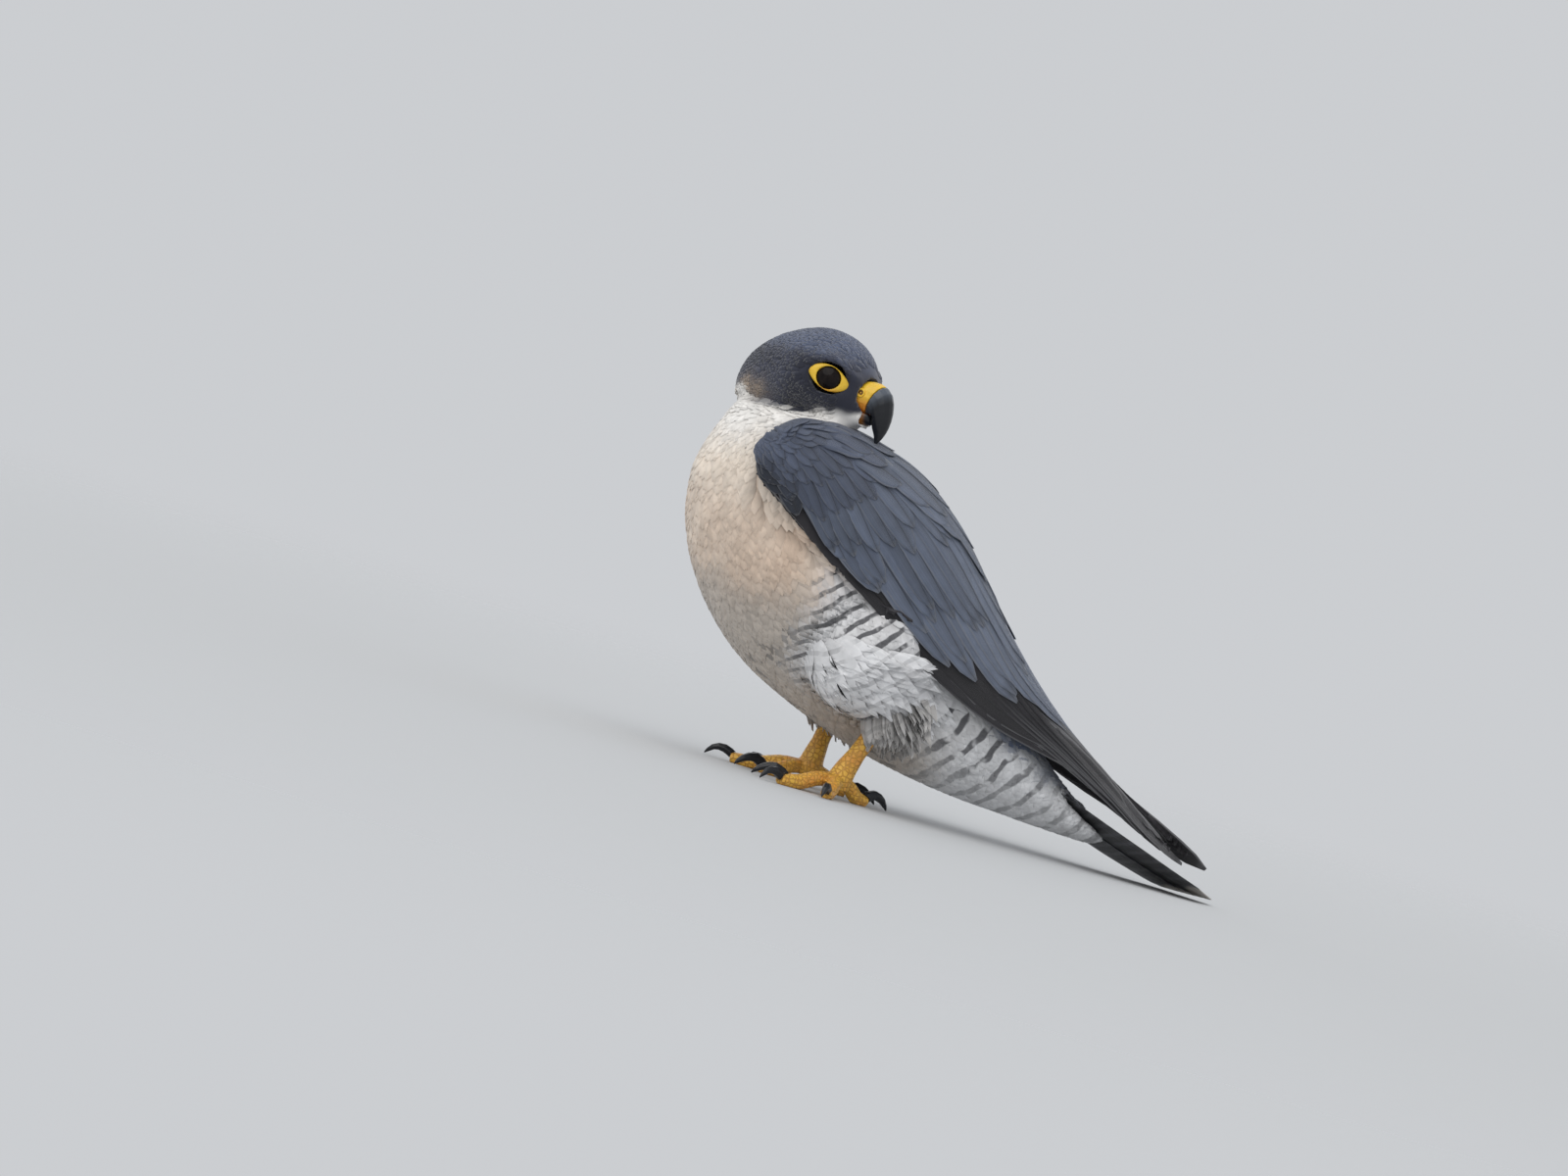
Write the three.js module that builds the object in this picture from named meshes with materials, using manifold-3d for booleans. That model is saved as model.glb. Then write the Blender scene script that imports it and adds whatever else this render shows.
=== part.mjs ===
// Peregrine falcon at life size, standing and looking back over its left shoulder.
// Millimetres, +Z up. The bird heads along -X, its left side is -Y and the floor is z = 0.
import * as THREE from 'three';
import { mergeVertices } from 'three/addons/utils/BufferGeometryUtils.js';
import Module from 'manifold-3d';

const wasm = await Module();
wasm.setup();

const V = (x, y, z) => new THREE.Vector3(x, y, z);
const UP = V(0, 0, 1);
const { cos, sin, abs, sqrt, max, min, PI } = Math;

// Driving dimensions
const GAP = 0.35; // clearance between neighbouring pieces
const FLOOR = 0;
const FINEST = 0.03; // slivers left by a cut that are smaller than this are merged
const HEAD_CENTRE = V(-110, 0, 184.5);
const HEAD_TURN = -50; // degrees about +Z, where the bill points
const EYE_RADIUS = 7.2;
const EYE_PLACE = { f: 13.5, r: 15.2, z: 1.9 }; // forward, sideways and up from the head's centre
const ORBIT = { long: 9.2, high: 6.7, wall: 1.7, hole: 5.2, out: 3.9, slope: 0.42 };
const NOSTRIL_RADIUS = 1.35;
const TARSUS_RADIUS = 4.3;
const TOE_RADIUS = 3.5;
const CLAW_RADIUS = 2.3;
const TAIL_TIP_X = 156;
const TAIL_TIP_Z = 1.7;
const TAIL_HALF = 25;
const TAIL_THICK = 5;

// Stations of the trunk: place in the bird's middle plane, then half depth and half width
const TRUNK = [
  { x: -111, z: 178, d: 23, w: 23 },
  { x: -113, z: 165, d: 29.5, w: 29.5 },
  { x: -116, z: 150, d: 34, w: 34 },
  { x: -116, z: 132, d: 43, w: 40 },
  { x: -103, z: 114, d: 51, w: 45 },
  { x: -80, z: 97, d: 55, w: 47 },
  { x: -54, z: 80, d: 51, w: 43 },
  { x: -20, z: 60, d: 42, w: 37 },
  { x: 16, z: 42, d: 29, w: 32 },
  { x: 48, z: 29, d: 17, w: 25 },
  { x: 74, z: 20.5, d: 9.5, w: 19 },
  { x: 93, z: 15, d: 4, w: 12 },
];
const NECK_CUT = { at: V(-115, 0, 143), along: V(0.1, 0, -1) };
const HEAD_CUT = { at: V(-112, 0, 167), along: V(0.05, 0, -1) };
const RUMP_CUT = { at: V(8, 0, 46), along: V(0.89, 0, -0.45) };

// Stations of the head along the bill's direction: middle height, half height and half width
const SKULL = [
  { f: -37, z: -11, h: 10, w: 11 },
  { f: -32, z: -8, h: 16.5, w: 18.5 },
  { f: -20, z: -2.5, h: 21, w: 24.5 },
  { f: -4, z: 1.5, h: 23.4, w: 26.4 },
  { f: 8, z: 1.8, h: 23, w: 24.6 },
  { f: 17, z: 0.6, h: 21, w: 21.4 },
  { f: 24, z: -1.4, h: 17.6, w: 16 },
  { f: 29, z: -4.4, h: 13, w: 10 },
  { f: 32.4, z: -7.6, h: 8, w: 4.6 },
];

// Stations of each folded wing, from the bend at the shoulder to the tip: the line along the
// back, then the lower edge
const WING = [
  { back: V(-134, 37, 156), edge: V(-142, 41, 145) },
  { back: V(-121, 27, 164), edge: V(-138, 46, 134) },
  { back: V(-97, 15, 166.5), edge: V(-119, 49, 121) },
  { back: V(-73, 7, 162.5), edge: V(-95, 51, 106) },
  { back: V(-52, 3, 155.5), edge: V(-67, 51, 93) },
  { back: V(-30, 1, 141), edge: V(-40, 51, 80) },
  { back: V(-8, 1, 119.5), edge: V(-12, 47, 68) },
  { back: V(17, 1, 95), edge: V(12, 41, 60) },
  { back: V(44, 1, 71), edge: V(48, 34, 51) },
  { back: V(76, 1, 49), edge: V(78, 26, 39.5) },
  { back: V(103, 1.5, 33.5), edge: V(104, 14, 28) },
  { back: V(126, 2.5, 20.5), edge: V(127, 6, 18.5) },
];
const WING_WRAP = 1.6; // radians from the back line round to under the lower edge
const WING_FULLNESS = 0.84; // under 1 the wing's section is squarer than an oval
const WING_DEPTH = [9, 15, 17, 16, 14, 12, 9, 7, 5, 3.6, 2.4, 1.2];
const FAR_WING_REACH = 15; // the right wing lies this much further back at its tip
const FAR_WING_SHIFT = 9; // and this much further back at its bend

// Solids

function solidOf(points, triangles, grow = 0) {
  const geometry = new THREE.BufferGeometry();
  const flat = new Float32Array(points.flatMap((p) => [p.x, p.y, p.z]));
  geometry.setAttribute('position', new THREE.BufferAttribute(flat, 3));
  geometry.setIndex(triangles.flat());
  return solidOfGeometry(geometry, grow);
}

function manifoldOf(geometry) {
  const vertProperties = geometry.attributes.position.array;
  const triVerts = new Uint32Array(geometry.index.array);
  return new wasm.Manifold(new wasm.Mesh({ numProp: 3, vertProperties, triVerts }));
}

// A solid from a closed surface, turned to face out, then swollen along its normals by grow
function solidOfGeometry(source, grow = 0) {
  const geometry = source.clone();
  geometry.deleteAttribute('normal');
  geometry.deleteAttribute('uv');
  const merged = mergeVertices(geometry, 1e-4);
  const index = merged.index.array;
  if (manifoldOf(merged).volume() < 0) {
    for (let i = 0; i < index.length; i += 3) {
      [index[i + 1], index[i + 2]] = [index[i + 2], index[i + 1]];
    }
  }
  merged.computeVertexNormals();
  const { position, normal } = merged.attributes;
  position.array.forEach((value, i) => {
    position.array[i] = value + normal.array[i] * grow;
  });
  return manifoldOf(merged);
}

// A closed skin over rings of points, each end closed by a fan to its own middle
function loft(rings, grow = 0) {
  const n = rings[0].length;
  const points = rings.flat();
  const triangles = [];
  for (let i = 0; i + 1 < rings.length; i++) {
    for (let j = 0; j < n; j++) {
      const a = i * n + j;
      const b = i * n + ((j + 1) % n);
      triangles.push([a, b, b + n], [a, b + n, a + n]);
    }
  }
  for (const end of [0, rings.length - 1]) {
    const middle = points.length;
    const sum = rings[end].reduce((total, p) => total.add(p), V(0, 0, 0));
    points.push(sum.divideScalar(n));
    for (let j = 0; j < n; j++) {
      const a = end * n + j;
      const b = end * n + ((j + 1) % n);
      triangles.push(end ? [a, b, middle] : [b, a, middle]);
    }
  }
  return solidOf(points, triangles, grow);
}

// A smooth run of stations: every number of the stations follows one spline
function smooth(stations, keys, count) {
  const splines = keys.map(
    (key) => new THREE.SplineCurve(stations.map((s, i) => new THREE.Vector2(i, s[key]))),
  );
  return Array.from({ length: count + 1 }, (_, i) => {
    const made = {};
    keys.forEach((key, k) => {
      made[key] = splines[k].getPoint(i / count).y;
    });
    return made;
  });
}

// An ellipse of points about a centre, from two half axes
function oval(centre, first, second, count, shape = () => 1) {
  return Array.from({ length: count }, (_, j) => {
    const a = (j / count) * 2 * PI;
    return centre
      .clone()
      .addScaledVector(first, cos(a))
      .addScaledVector(second, sin(a) * shape(a));
  });
}

// A round limb along a smooth line: radii run with the line, side is the direction of width
function limb(path, radii, sides, rows, flat = 1, grow = 0) {
  const line = new THREE.CatmullRomCurve3(path);
  const sizes = new THREE.SplineCurve(radii.map((r, i) => new THREE.Vector2(i, r)));
  const whole = path.at(-1).clone().sub(path[0]).normalize();
  const reference = abs(whole.z) > 0.7 ? V(1, 0, 0) : UP;
  const rings = Array.from({ length: rows + 1 }, (_, i) => {
    const t = i / rows;
    const along = line.getTangent(t);
    const across = V(0, 0, 0).crossVectors(along, reference).normalize();
    const over = V(0, 0, 0).crossVectors(across, along).normalize();
    const r = sizes.getPoint(t).y;
    return oval(line.getPoint(t), across.multiplyScalar(r), over.multiplyScalar(r * flat), sides);
  });
  return loft(rings, grow);
}

function ball(centre, radius, wide = 16, high = 10) {
  return solidOfGeometry(new THREE.SphereGeometry(radius, wide, high).translate(...centre));
}

function union(...solids) {
  return wasm.Manifold.union(solids.flat());
}

function less(solid, ...others) {
  return others.flat().reduce((rest, other) => rest.subtract(other), solid);
}

// The side of a cut that lies along its direction, or the side against it
function beyond({ at, along }, solid, sign = 1) {
  const normal = along.clone().normalize().multiplyScalar(sign);
  return solid.trimByPlane(normal.toArray(), normal.dot(at) + GAP / 2);
}

function largest(solid) {
  const bodies = solid.decompose();
  return bodies.reduce((best, body) => (body.volume() > best.volume() ? body : best));
}

// The trunk: ovals square to a spine in the middle plane, narrower below than above
const TRUNK_KEEL = 0.24;

function trunk(grow = 0) {
  const stations = smooth(TRUNK, ['x', 'z', 'd', 'w'], 24);
  const rings = stations.map((s, i) => {
    const before = stations[max(i - 1, 0)];
    const after = stations[min(i + 1, stations.length - 1)];
    const along = V(after.x - before.x, 0, after.z - before.z).normalize();
    const dorsal = V(-along.z, 0, along.x).multiplyScalar(s.d);
    const side = V(0, s.w, 0);
    const keel = (a) => 1 - TRUNK_KEEL * max(0, -cos(a)) ** 2;
    return oval(V(s.x, 0, s.z), dorsal, side, 30, keel);
  });
  return loft(rings, grow);
}

// The head's own directions: forward to the bill, the bird's right, and up
const turn = (HEAD_TURN * PI) / 180;
const FORWARD = V(cos(turn), sin(turn), 0);
const RIGHT = V(0, 0, 0).crossVectors(FORWARD, UP);

function headPoint(f, r, z) {
  return HEAD_CENTRE.clone()
    .addScaledVector(FORWARD, f)
    .addScaledVector(RIGHT, r)
    .addScaledVector(UP, z);
}

function skull(grow = 0) {
  const stations = smooth(SKULL, ['f', 'z', 'h', 'w'], 16);
  const rings = stations.map((s) => {
    const cheek = (a) => 1 + 0.05 * max(0, -cos(a)) * sin(a) ** 2;
    const high = UP.clone().multiplyScalar(s.h);
    const wide = RIGHT.clone().multiplyScalar(s.w);
    return oval(headPoint(s.f, 0, s.z), high, wide, 28, cheek);
  });
  return loft(rings, grow);
}

// The brow, a low ridge over each eye
function brow(side) {
  const path = [
    headPoint(3, side * 20, 10.6),
    headPoint(12, side * 18.4, 9.6),
    headPoint(20, side * 15, 7.6),
    headPoint(27, side * 9, 4.6),
  ];
  return limb(path, [3, 5.2, 4.8, 2.4], 8, 6);
}

// Where each eye looks: out to its side, and forward
const EYE_TURN = 0.5;

function eyeCentre(side) {
  return headPoint(EYE_PLACE.f, side * EYE_PLACE.r, EYE_PLACE.z);
}

function eyeDirection(side) {
  return RIGHT.clone()
    .multiplyScalar(side * cos(EYE_TURN))
    .addScaledVector(FORWARD, sin(EYE_TURN));
}

// The dish in the head's side that each eye and its ring lie in
const DISH = { across: 12.2, high: 9, deep: 7.2, out: 4.2 };

function dish(side) {
  const out = eyeDirection(side);
  const across = V(0, 0, 0).crossVectors(out, UP).normalize();
  const shape = new THREE.SphereGeometry(1, 20, 12).scale(DISH.across, DISH.high, DISH.deep);
  const centre = eyeCentre(side).addScaledVector(out, EYE_RADIUS + DISH.out);
  shape.applyMatrix4(new THREE.Matrix4().makeBasis(across, UP, out).setPosition(centre));
  return solidOfGeometry(shape);
}

// The bare ring of skin round each eye, pointed at its front and rear corners
function orbit(side, grow = 0) {
  const out = eyeDirection(side);
  const across = V(0, 0, 0).crossVectors(out, UP).normalize();
  const middle = eyeCentre(side).addScaledVector(out, ORBIT.out);
  const steps = 20;
  const sides = 6;
  const points = [];
  const triangles = [];
  for (let i = 0; i < steps; i++) {
    const a = (i / steps) * 2 * PI;
    const corner = 1 + 0.16 * abs(cos(a)) ** 5;
    const radial = across
      .clone()
      .multiplyScalar(cos(a) * ORBIT.long * corner)
      .addScaledVector(UP, sin(a) * ORBIT.high);
    const length = radial.length();
    const unit = radial.divideScalar(length);
    const wide = (length - ORBIT.hole) / 2;
    const centre = middle.clone().addScaledVector(unit, length - wide);
    for (let j = 0; j < sides; j++) {
      const b = (j / sides) * 2 * PI;
      const rise = wide * (1 + cos(b)) * ORBIT.slope;
      points.push(
        centre
          .clone()
          .addScaledVector(unit, cos(b) * wide)
          .addScaledVector(out, sin(b) * ORBIT.wall + rise),
      );
    }
  }
  for (let i = 0; i < steps; i++) {
    for (let j = 0; j < sides; j++) {
      const a = i * sides + j;
      const b = i * sides + ((j + 1) % sides);
      const c = ((i + 1) % steps) * sides + ((j + 1) % sides);
      const d = ((i + 1) % steps) * sides + j;
      triangles.push([a, b, c], [a, c, d]);
    }
  }
  return solidOf(points, triangles, grow);
}

// The beak: each ring is square to a line that curves over in the head's middle plane
const UPPER_BILL = [
  { f: 16, z: -3.6, h: 7, w: 8.4, a: 0 },
  { f: 25, z: -2, h: 7.8, w: 8.6, a: 4 },
  { f: 31, z: -1.6, h: 8.2, w: 7.8, a: 14 },
  { f: 34.8, z: -3.4, h: 7.8, w: 6.7, a: 36 },
  { f: 37, z: -8, h: 6.4, w: 5.5, a: 62 },
  { f: 38.6, z: -13, h: 4.4, w: 3.9, a: 80 },
  { f: 39.2, z: -17.4, h: 2.4, w: 2.1, a: 92 },
  { f: 38.8, z: -21, h: 0.7, w: 0.7, a: 100 },
];
const LOWER_BILL = [
  { f: 14, z: -10, h: 4, w: 7.4, a: 0 },
  { f: 23, z: -10.2, h: 4.2, w: 7.2, a: -2 },
  { f: 29, z: -10.4, h: 4, w: 5.8, a: -4 },
  { f: 32.6, z: -10.6, h: 3.2, w: 4.2, a: -4 },
  { f: 34.4, z: -10.8, h: 1.8, w: 2.4, a: -4 },
];
// What is cut from the upper bill: the mouth's space under the cutting edge, back of the hook
const MOUTH_SPACE = [
  { f: 8, z: -12, h: 9, w: 12, a: 0 },
  { f: 24, z: -13, h: 9, w: 12, a: 0 },
  { f: 32, z: -14, h: 8.4, w: 11, a: 0 },
  { f: 35.6, z: -15, h: 6.4, w: 9, a: 0 },
];
const CERE_FRONT = 32.6;

function beak(stations, grow = 0) {
  const rings = smooth(stations, ['f', 'z', 'h', 'w', 'a'], 14).map((s) => {
    const a = (s.a * PI) / 180;
    const over = FORWARD.clone().multiplyScalar(sin(a)).addScaledVector(UP, cos(a));
    return oval(
      headPoint(s.f, 0, s.z),
      over.multiplyScalar(s.h),
      RIGHT.clone().multiplyScalar(s.w),
      16,
    );
  });
  return loft(rings, grow);
}

// The mouth closes along a plane that drops a little towards the tip
const MOUTH_PLANE = {
  at: headPoint(24, 0, -8.4),
  along: UP.clone().multiplyScalar(cos(0.06)).addScaledVector(FORWARD, sin(0.06)),
};

// Wings

function wingStations(side) {
  return WING.map((s, i) => {
    const along = i / (WING.length - 1);
    const far = FAR_WING_REACH * along ** 3 + FAR_WING_SHIFT * (1 - along) ** 4;
    const reach = side > 0 ? far : 0;
    return {
      bx: s.back.x + reach,
      by: s.back.y * side,
      bz: s.back.z,
      ex: s.edge.x + reach,
      ey: s.edge.y * side,
      ez: s.edge.z,
      depth: WING_DEPTH[i],
    };
  });
}

// The folded wing's outer face: at each station a quarter oval from the back line round the
// flank to the lower edge
function wingFace(s, angle, inset = 0) {
  const corner = V(s.ex, s.by, s.ez);
  const up = V(s.bx, s.by, s.bz).sub(corner);
  const out = V(s.ex, s.ey, s.ez).sub(corner);
  up.setLength(max(up.length() - inset, 0.4));
  out.setLength(max(out.length() - inset, 0.4));
  const full = (v) => Math.sign(v) * abs(v) ** WING_FULLNESS;
  return corner.addScaledVector(up, full(cos(angle))).addScaledVector(out, full(sin(angle)));
}

function wing(side) {
  const arc = 10;
  const keys = ['bx', 'by', 'bz', 'ex', 'ey', 'ez', 'depth'];
  const rings = smooth(wingStations(side), keys, 22).map((s) => {
    const outer = Array.from({ length: arc + 1 }, (_, j) => wingFace(s, (j / arc) * WING_WRAP));
    const inner = Array.from({ length: arc + 1 }, (_, j) =>
      wingFace(s, (1 - j / arc) * WING_WRAP, s.depth),
    );
    return [...outer, ...inner];
  });
  return loft(rings);
}

// Tail: a fan of long feathers, folded almost shut, its left edge higher than its right
const TAIL_ROOT = V(24, 0, 41);
const TAIL_ROLL = 7;

function tailMiddle(t) {
  const x = TAIL_ROOT.x + (TAIL_TIP_X - TAIL_ROOT.x) * t;
  const z = TAIL_ROOT.z * (1 - t) ** 1.15 + TAIL_TIP_Z * t;
  return V(x, 0, z);
}

function tail(grow = 0) {
  const rows = 16;
  const rings = Array.from({ length: rows + 1 }, (_, i) => {
    const t = i / rows;
    const round = t > 0.9 ? sqrt(max(0.06, 1 - ((t - 0.9) / 0.1) ** 2)) : 1;
    const half = TAIL_HALF * (0.66 + 0.34 * min(1, t * 1.6)) * round;
    const thick = (TAIL_THICK / 2) * (1 - 0.3 * t);
    const middle = tailMiddle(t);
    const tilt = (-TAIL_ROLL * (1 - t * 0.6)) / TAIL_HALF;
    return oval(middle, V(0, half, tilt * half), V(0, 0, thick), 20);
  });
  return loft(rings, grow);
}

// Legs: the joint under the thigh, the ankle, and how many degrees the foot points outwards
const FEET = [
  { name: 'left', side: -1, knee: V(-38, -30, 50), ankle: V(-53, -28, 11), turn: 26 },
  { name: 'right', side: 1, knee: V(-42, 29, 48), ankle: V(-48, 28, 11), turn: 26 },
];
const TOES = [
  { name: 'inner', angle: -38, length: 26 },
  { name: 'middle', angle: -2, length: 37 },
  { name: 'outer', angle: 36, length: 29 },
  { name: 'rear', angle: 176, length: 20 },
];

function thigh(foot, grow = 0) {
  const { side, knee } = foot;
  const path = [
    V(knee.x - 12, side * 16, 92),
    V(knee.x - 20, side * 30, 78),
    V(knee.x - 21, side * 35, 63),
    V(knee.x - 11, side * 33, 50),
    V(knee.x - 2, knee.y, 40),
  ];
  return limb(path, [20, 24, 22, 13, 6], 18, 11, 1.25, grow);
}

function shank(foot, grow = 0) {
  const { knee, ankle } = foot;
  const path = [
    V(knee.x, knee.y, 50),
    V(0, 0, 0).lerpVectors(knee, ankle, 0.35),
    V(0, 0, 0).lerpVectors(knee, ankle, 0.7),
    ankle.clone().add(V(0, 0, -2)),
    ankle.clone().add(V(0, 0, -6.5)),
  ];
  const r = TARSUS_RADIUS;
  return limb(path, [r * 1.1, r, r, r * 1.45, r * 1.3], 12, 8, 1, grow);
}

// A toe starts inside the ankle's ball, bends at its pads and lies on the floor
function toeFrame(foot, toe) {
  const a = ((180 - foot.side * (toe.angle + foot.turn)) * PI) / 180;
  return V(cos(a), sin(a), 0);
}

function toePath(foot, toe) {
  const along = toeFrame(foot, toe);
  const start = foot.ankle;
  const at = (t, z) => V(start.x, start.y, z).addScaledVector(along, toe.length * t);
  return [at(0.08, 8), at(0.35, 7.2), at(0.68, 3), at(1, 2.2)];
}

function toeSolid(foot, toe, grow = 0) {
  const r = TOE_RADIUS;
  return limb(toePath(foot, toe), [r, r * 1.02, r * 1.04, r * 0.8], 8, 8, 1, grow);
}

function clawSolid(foot, toe) {
  const along = toeFrame(foot, toe);
  const end = toePath(foot, toe)[3];
  const size = toe.name === 'rear' || toe.name === 'inner' ? 1.15 : 1;
  const at = (d, z) => V(end.x, end.y, z).addScaledVector(along, d * size);
  const path = [at(-1.5, 3.2), at(3, 5.4 * size), at(8, 5.2), at(11.5, 2.2), at(12.6, 0.5)];
  const r = CLAW_RADIUS * size;
  return limb(path, [r, r, r * 0.75, r * 0.42, 0.25], 6, 7);
}

// The model

function material(name, colour, roughness, metalness = 0) {
  return new THREE.MeshStandardMaterial({ name, color: colour, roughness, metalness });
}

const MATERIALS = {
  slate: material('slate', 0x49536a, 0.8),
  hood: material('hood', 0x2b3247, 0.8),
  breast: material('breast', 0xd9c3a8, 0.85),
  barred: material('barred', 0xc9c6c2, 0.85),
  skin: material('skin', 0xe8b21c, 0.5),
  horn: material('horn', 0x30353d, 0.35),
  eye: material('eye', 0x0a0706, 0.08),
  tail: material('tail', 0x2e3138, 0.7),
};

const model = new THREE.Group();
model.name = 'peregrine_falcon';

function add(name, finish, solid) {
  const { vertProperties, triVerts, numProp } = largest(solid.simplify(FINEST)).getMesh();
  const count = vertProperties.length / numProp;
  const position = new Float32Array(count * 3);
  for (let i = 0; i < count; i++) {
    position.set(vertProperties.subarray(i * numProp, i * numProp + 3), i * 3);
  }
  const geometry = new THREE.BufferGeometry();
  geometry.setAttribute('position', new THREE.BufferAttribute(position, 3));
  geometry.setIndex(new THREE.BufferAttribute(new Uint32Array(triVerts), 1));
  geometry.computeVertexNormals();
  const mesh = new THREE.Mesh(geometry, MATERIALS[finish]);
  mesh.name = name;
  model.add(mesh);
}

const sides = [
  { name: 'left', side: -1 },
  { name: 'right', side: 1 },
];
const floorCut = { at: V(0, 0, FLOOR - GAP / 2), along: UP };
const onFloor = (solid) => beyond(floorCut, solid);

const upperAll = beak(UPPER_BILL);
const lowerAll = beak(LOWER_BILL);
const upperGrown = beak(UPPER_BILL, GAP);
const upperGrownFront = beyond({ at: headPoint(34, 0, 0), along: FORWARD }, upperGrown);
const lowerGrown = beak(LOWER_BILL, GAP);
const eyes = sides.map(({ side }) => ball(eyeCentre(side), EYE_RADIUS));
const eyesGrown = sides.map(({ side }) => ball(eyeCentre(side), EYE_RADIUS + GAP));
const orbits = sides.map(({ side }) => orbit(side));
const orbitsGrown = sides.map(({ side }) => orbit(side, GAP));

const dishes = sides.map(({ side }) => dish(side));
const headForm = union(skull(), brow(-1), brow(1));
const trunkForm = trunk();
const trunkGrown = trunk(GAP);
const skullGrown = skull(GAP);

add('head', 'hood', less(beyond(HEAD_CUT, headForm, -1), upperGrown, lowerGrown, dishes, eyesGrown, orbitsGrown));
const neckForm = beyond(HEAD_CUT, less(trunkForm, beyond(HEAD_CUT, skullGrown, -1)));
add('neck', 'breast', beyond(NECK_CUT, neckForm, -1));
const trunkBelow = beyond(NECK_CUT, trunkForm);
add('torso', 'breast', beyond(RUMP_CUT, trunkBelow, -1));
const tailForm = tail();
const tailGrown = tail(GAP);
add('rump', 'barred', onFloor(less(beyond(RUMP_CUT, trunkBelow), tailGrown)));
add('tail', 'tail', onFloor(tailForm));

const thighs = FEET.map((foot) => thigh(foot));
const thighsGrown = FEET.map((foot) => thigh(foot, GAP));
const shanksGrown = FEET.map((foot) => shank(foot, GAP));
FEET.forEach((foot, i) => {
  add(`thigh_${foot.name}`, 'barred', less(thighs[i], trunkGrown, shanksGrown[i]));
  add(`tarsus_${foot.name}`, 'skin', onFloor(less(shank(foot), trunkGrown)));
  const middleGrown = toeSolid(foot, TOES.find((toe) => toe.name === 'middle'), GAP);
  TOES.forEach((toe) => {
    const beside = toe.name === 'middle' || toe.name === 'rear' ? [] : [middleGrown];
    const solid = less(toeSolid(foot, toe), shanksGrown[i], beside);
    add(`toe_${toe.name}_${foot.name}`, 'skin', onFloor(solid));
    const claw = less(clawSolid(foot, toe), toeSolid(foot, toe, GAP));
    add(`claw_${toe.name}_${foot.name}`, 'horn', onFloor(claw));
  });
});

const midline = (solid, side) => beyond({ at: V(0, 0, 0), along: V(0, 1, 0) }, solid, side);
sides.forEach(({ name, side }, i) => {
  const body = [trunkGrown, tailGrown, thighsGrown[i], skullGrown];
  add(`wing_${name}`, 'slate', less(midline(wing(side), side), body));
  add(`eye_${name}`, 'eye', eyes[i]);
  add(`orbital_ring_${name}`, 'skin', less(orbits[i], eyesGrown[i]));
});

const nostrils = sides.map(({ side }) => {
  const centre = headPoint(28.2, side * 9, -0.2);
  return ball(centre, NOSTRIL_RADIUS, 10, 6);
});
const mouthSpace = beak(MOUTH_SPACE).trimByPlane(
  MOUTH_PLANE.along.clone().negate().toArray(),
  -MOUTH_PLANE.along.dot(MOUTH_PLANE.at) - GAP / 2,
);
const upper = less(upperAll, mouthSpace, nostrils);
const cereCut = {
  at: headPoint(CERE_FRONT, 0, -3),
  along: FORWARD.clone().addScaledVector(UP, -0.35),
};
add('cere', 'skin', beyond(cereCut, upper, -1));
add('bill_upper', 'horn', beyond(cereCut, upper));
add('bill_lower', 'horn', less(beyond(MOUTH_PLANE, lowerAll, -1), upperGrownFront));

export default model;
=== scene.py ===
# %% [markdown]
# # A standing peregrine falcon
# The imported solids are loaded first. They carry the bird's true sizes and places, in metres, with
# +Z up and the floor at zero. The bird's body heads along -X and its head looks back over its left
# shoulder. Everything below is laid over these solids, so every number here is in millimetres in
# their frame, and one factor turns it into metres when a mesh is made.

import bpy
import numpy as np
from mathutils import Matrix
from mathutils.bvhtree import BVHTree


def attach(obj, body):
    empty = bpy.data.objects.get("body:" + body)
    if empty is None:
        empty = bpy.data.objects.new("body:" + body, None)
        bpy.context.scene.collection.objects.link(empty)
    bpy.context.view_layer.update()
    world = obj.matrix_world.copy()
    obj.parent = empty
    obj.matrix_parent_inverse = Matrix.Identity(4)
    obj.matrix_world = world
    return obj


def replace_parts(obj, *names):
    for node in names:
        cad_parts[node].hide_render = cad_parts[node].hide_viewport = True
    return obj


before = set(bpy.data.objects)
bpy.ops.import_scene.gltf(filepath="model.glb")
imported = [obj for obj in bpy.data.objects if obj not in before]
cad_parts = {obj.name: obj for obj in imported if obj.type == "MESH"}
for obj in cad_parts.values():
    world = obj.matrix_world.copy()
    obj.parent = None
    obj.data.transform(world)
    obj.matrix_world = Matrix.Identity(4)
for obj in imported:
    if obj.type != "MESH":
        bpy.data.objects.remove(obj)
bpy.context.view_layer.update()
MM = 0.001

# %% [markdown]
# ## The camera
# The photograph was taken almost level with the bird, a little behind its left shoulder's square,
# and tilted. A camera on the ground could be placed by eye, but a named turn, roll and scale can be
# set against the solids exactly. A long lens far away keeps the proportions of the real view.

# %% Camera
TURN = np.radians(20)  # about +Z, away from looking along +Y
DOWN = np.radians(1.0)  # how far the camera looks down
ROLL = np.radians(17)
SCALE = 0.46  # mm to a pixel of the photograph, 1600 wide
DISTANCE = 4000
SENSOR = 36
ANCHOR = np.array([-28.8, 0, 12.0])  # the place on the bird that lies at the anchor's pixel
ANCHOR_PIXEL = np.array([885, 795])
IMAGE = np.array([1600, 1200])

ahead = np.array([np.sin(TURN) * np.cos(DOWN), np.cos(TURN) * np.cos(DOWN), -np.sin(DOWN)])
level = np.array([np.cos(TURN), -np.sin(TURN), 0])
above = np.cross(level, ahead)
camera_right = level * np.cos(ROLL) + above * np.sin(ROLL)
camera_up = above * np.cos(ROLL) - level * np.sin(ROLL)
middle = IMAGE / 2 - ANCHOR_PIXEL
aim = ANCHOR + camera_right * middle[0] * SCALE - camera_up * middle[1] * SCALE
place = aim - ahead * DISTANCE


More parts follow.
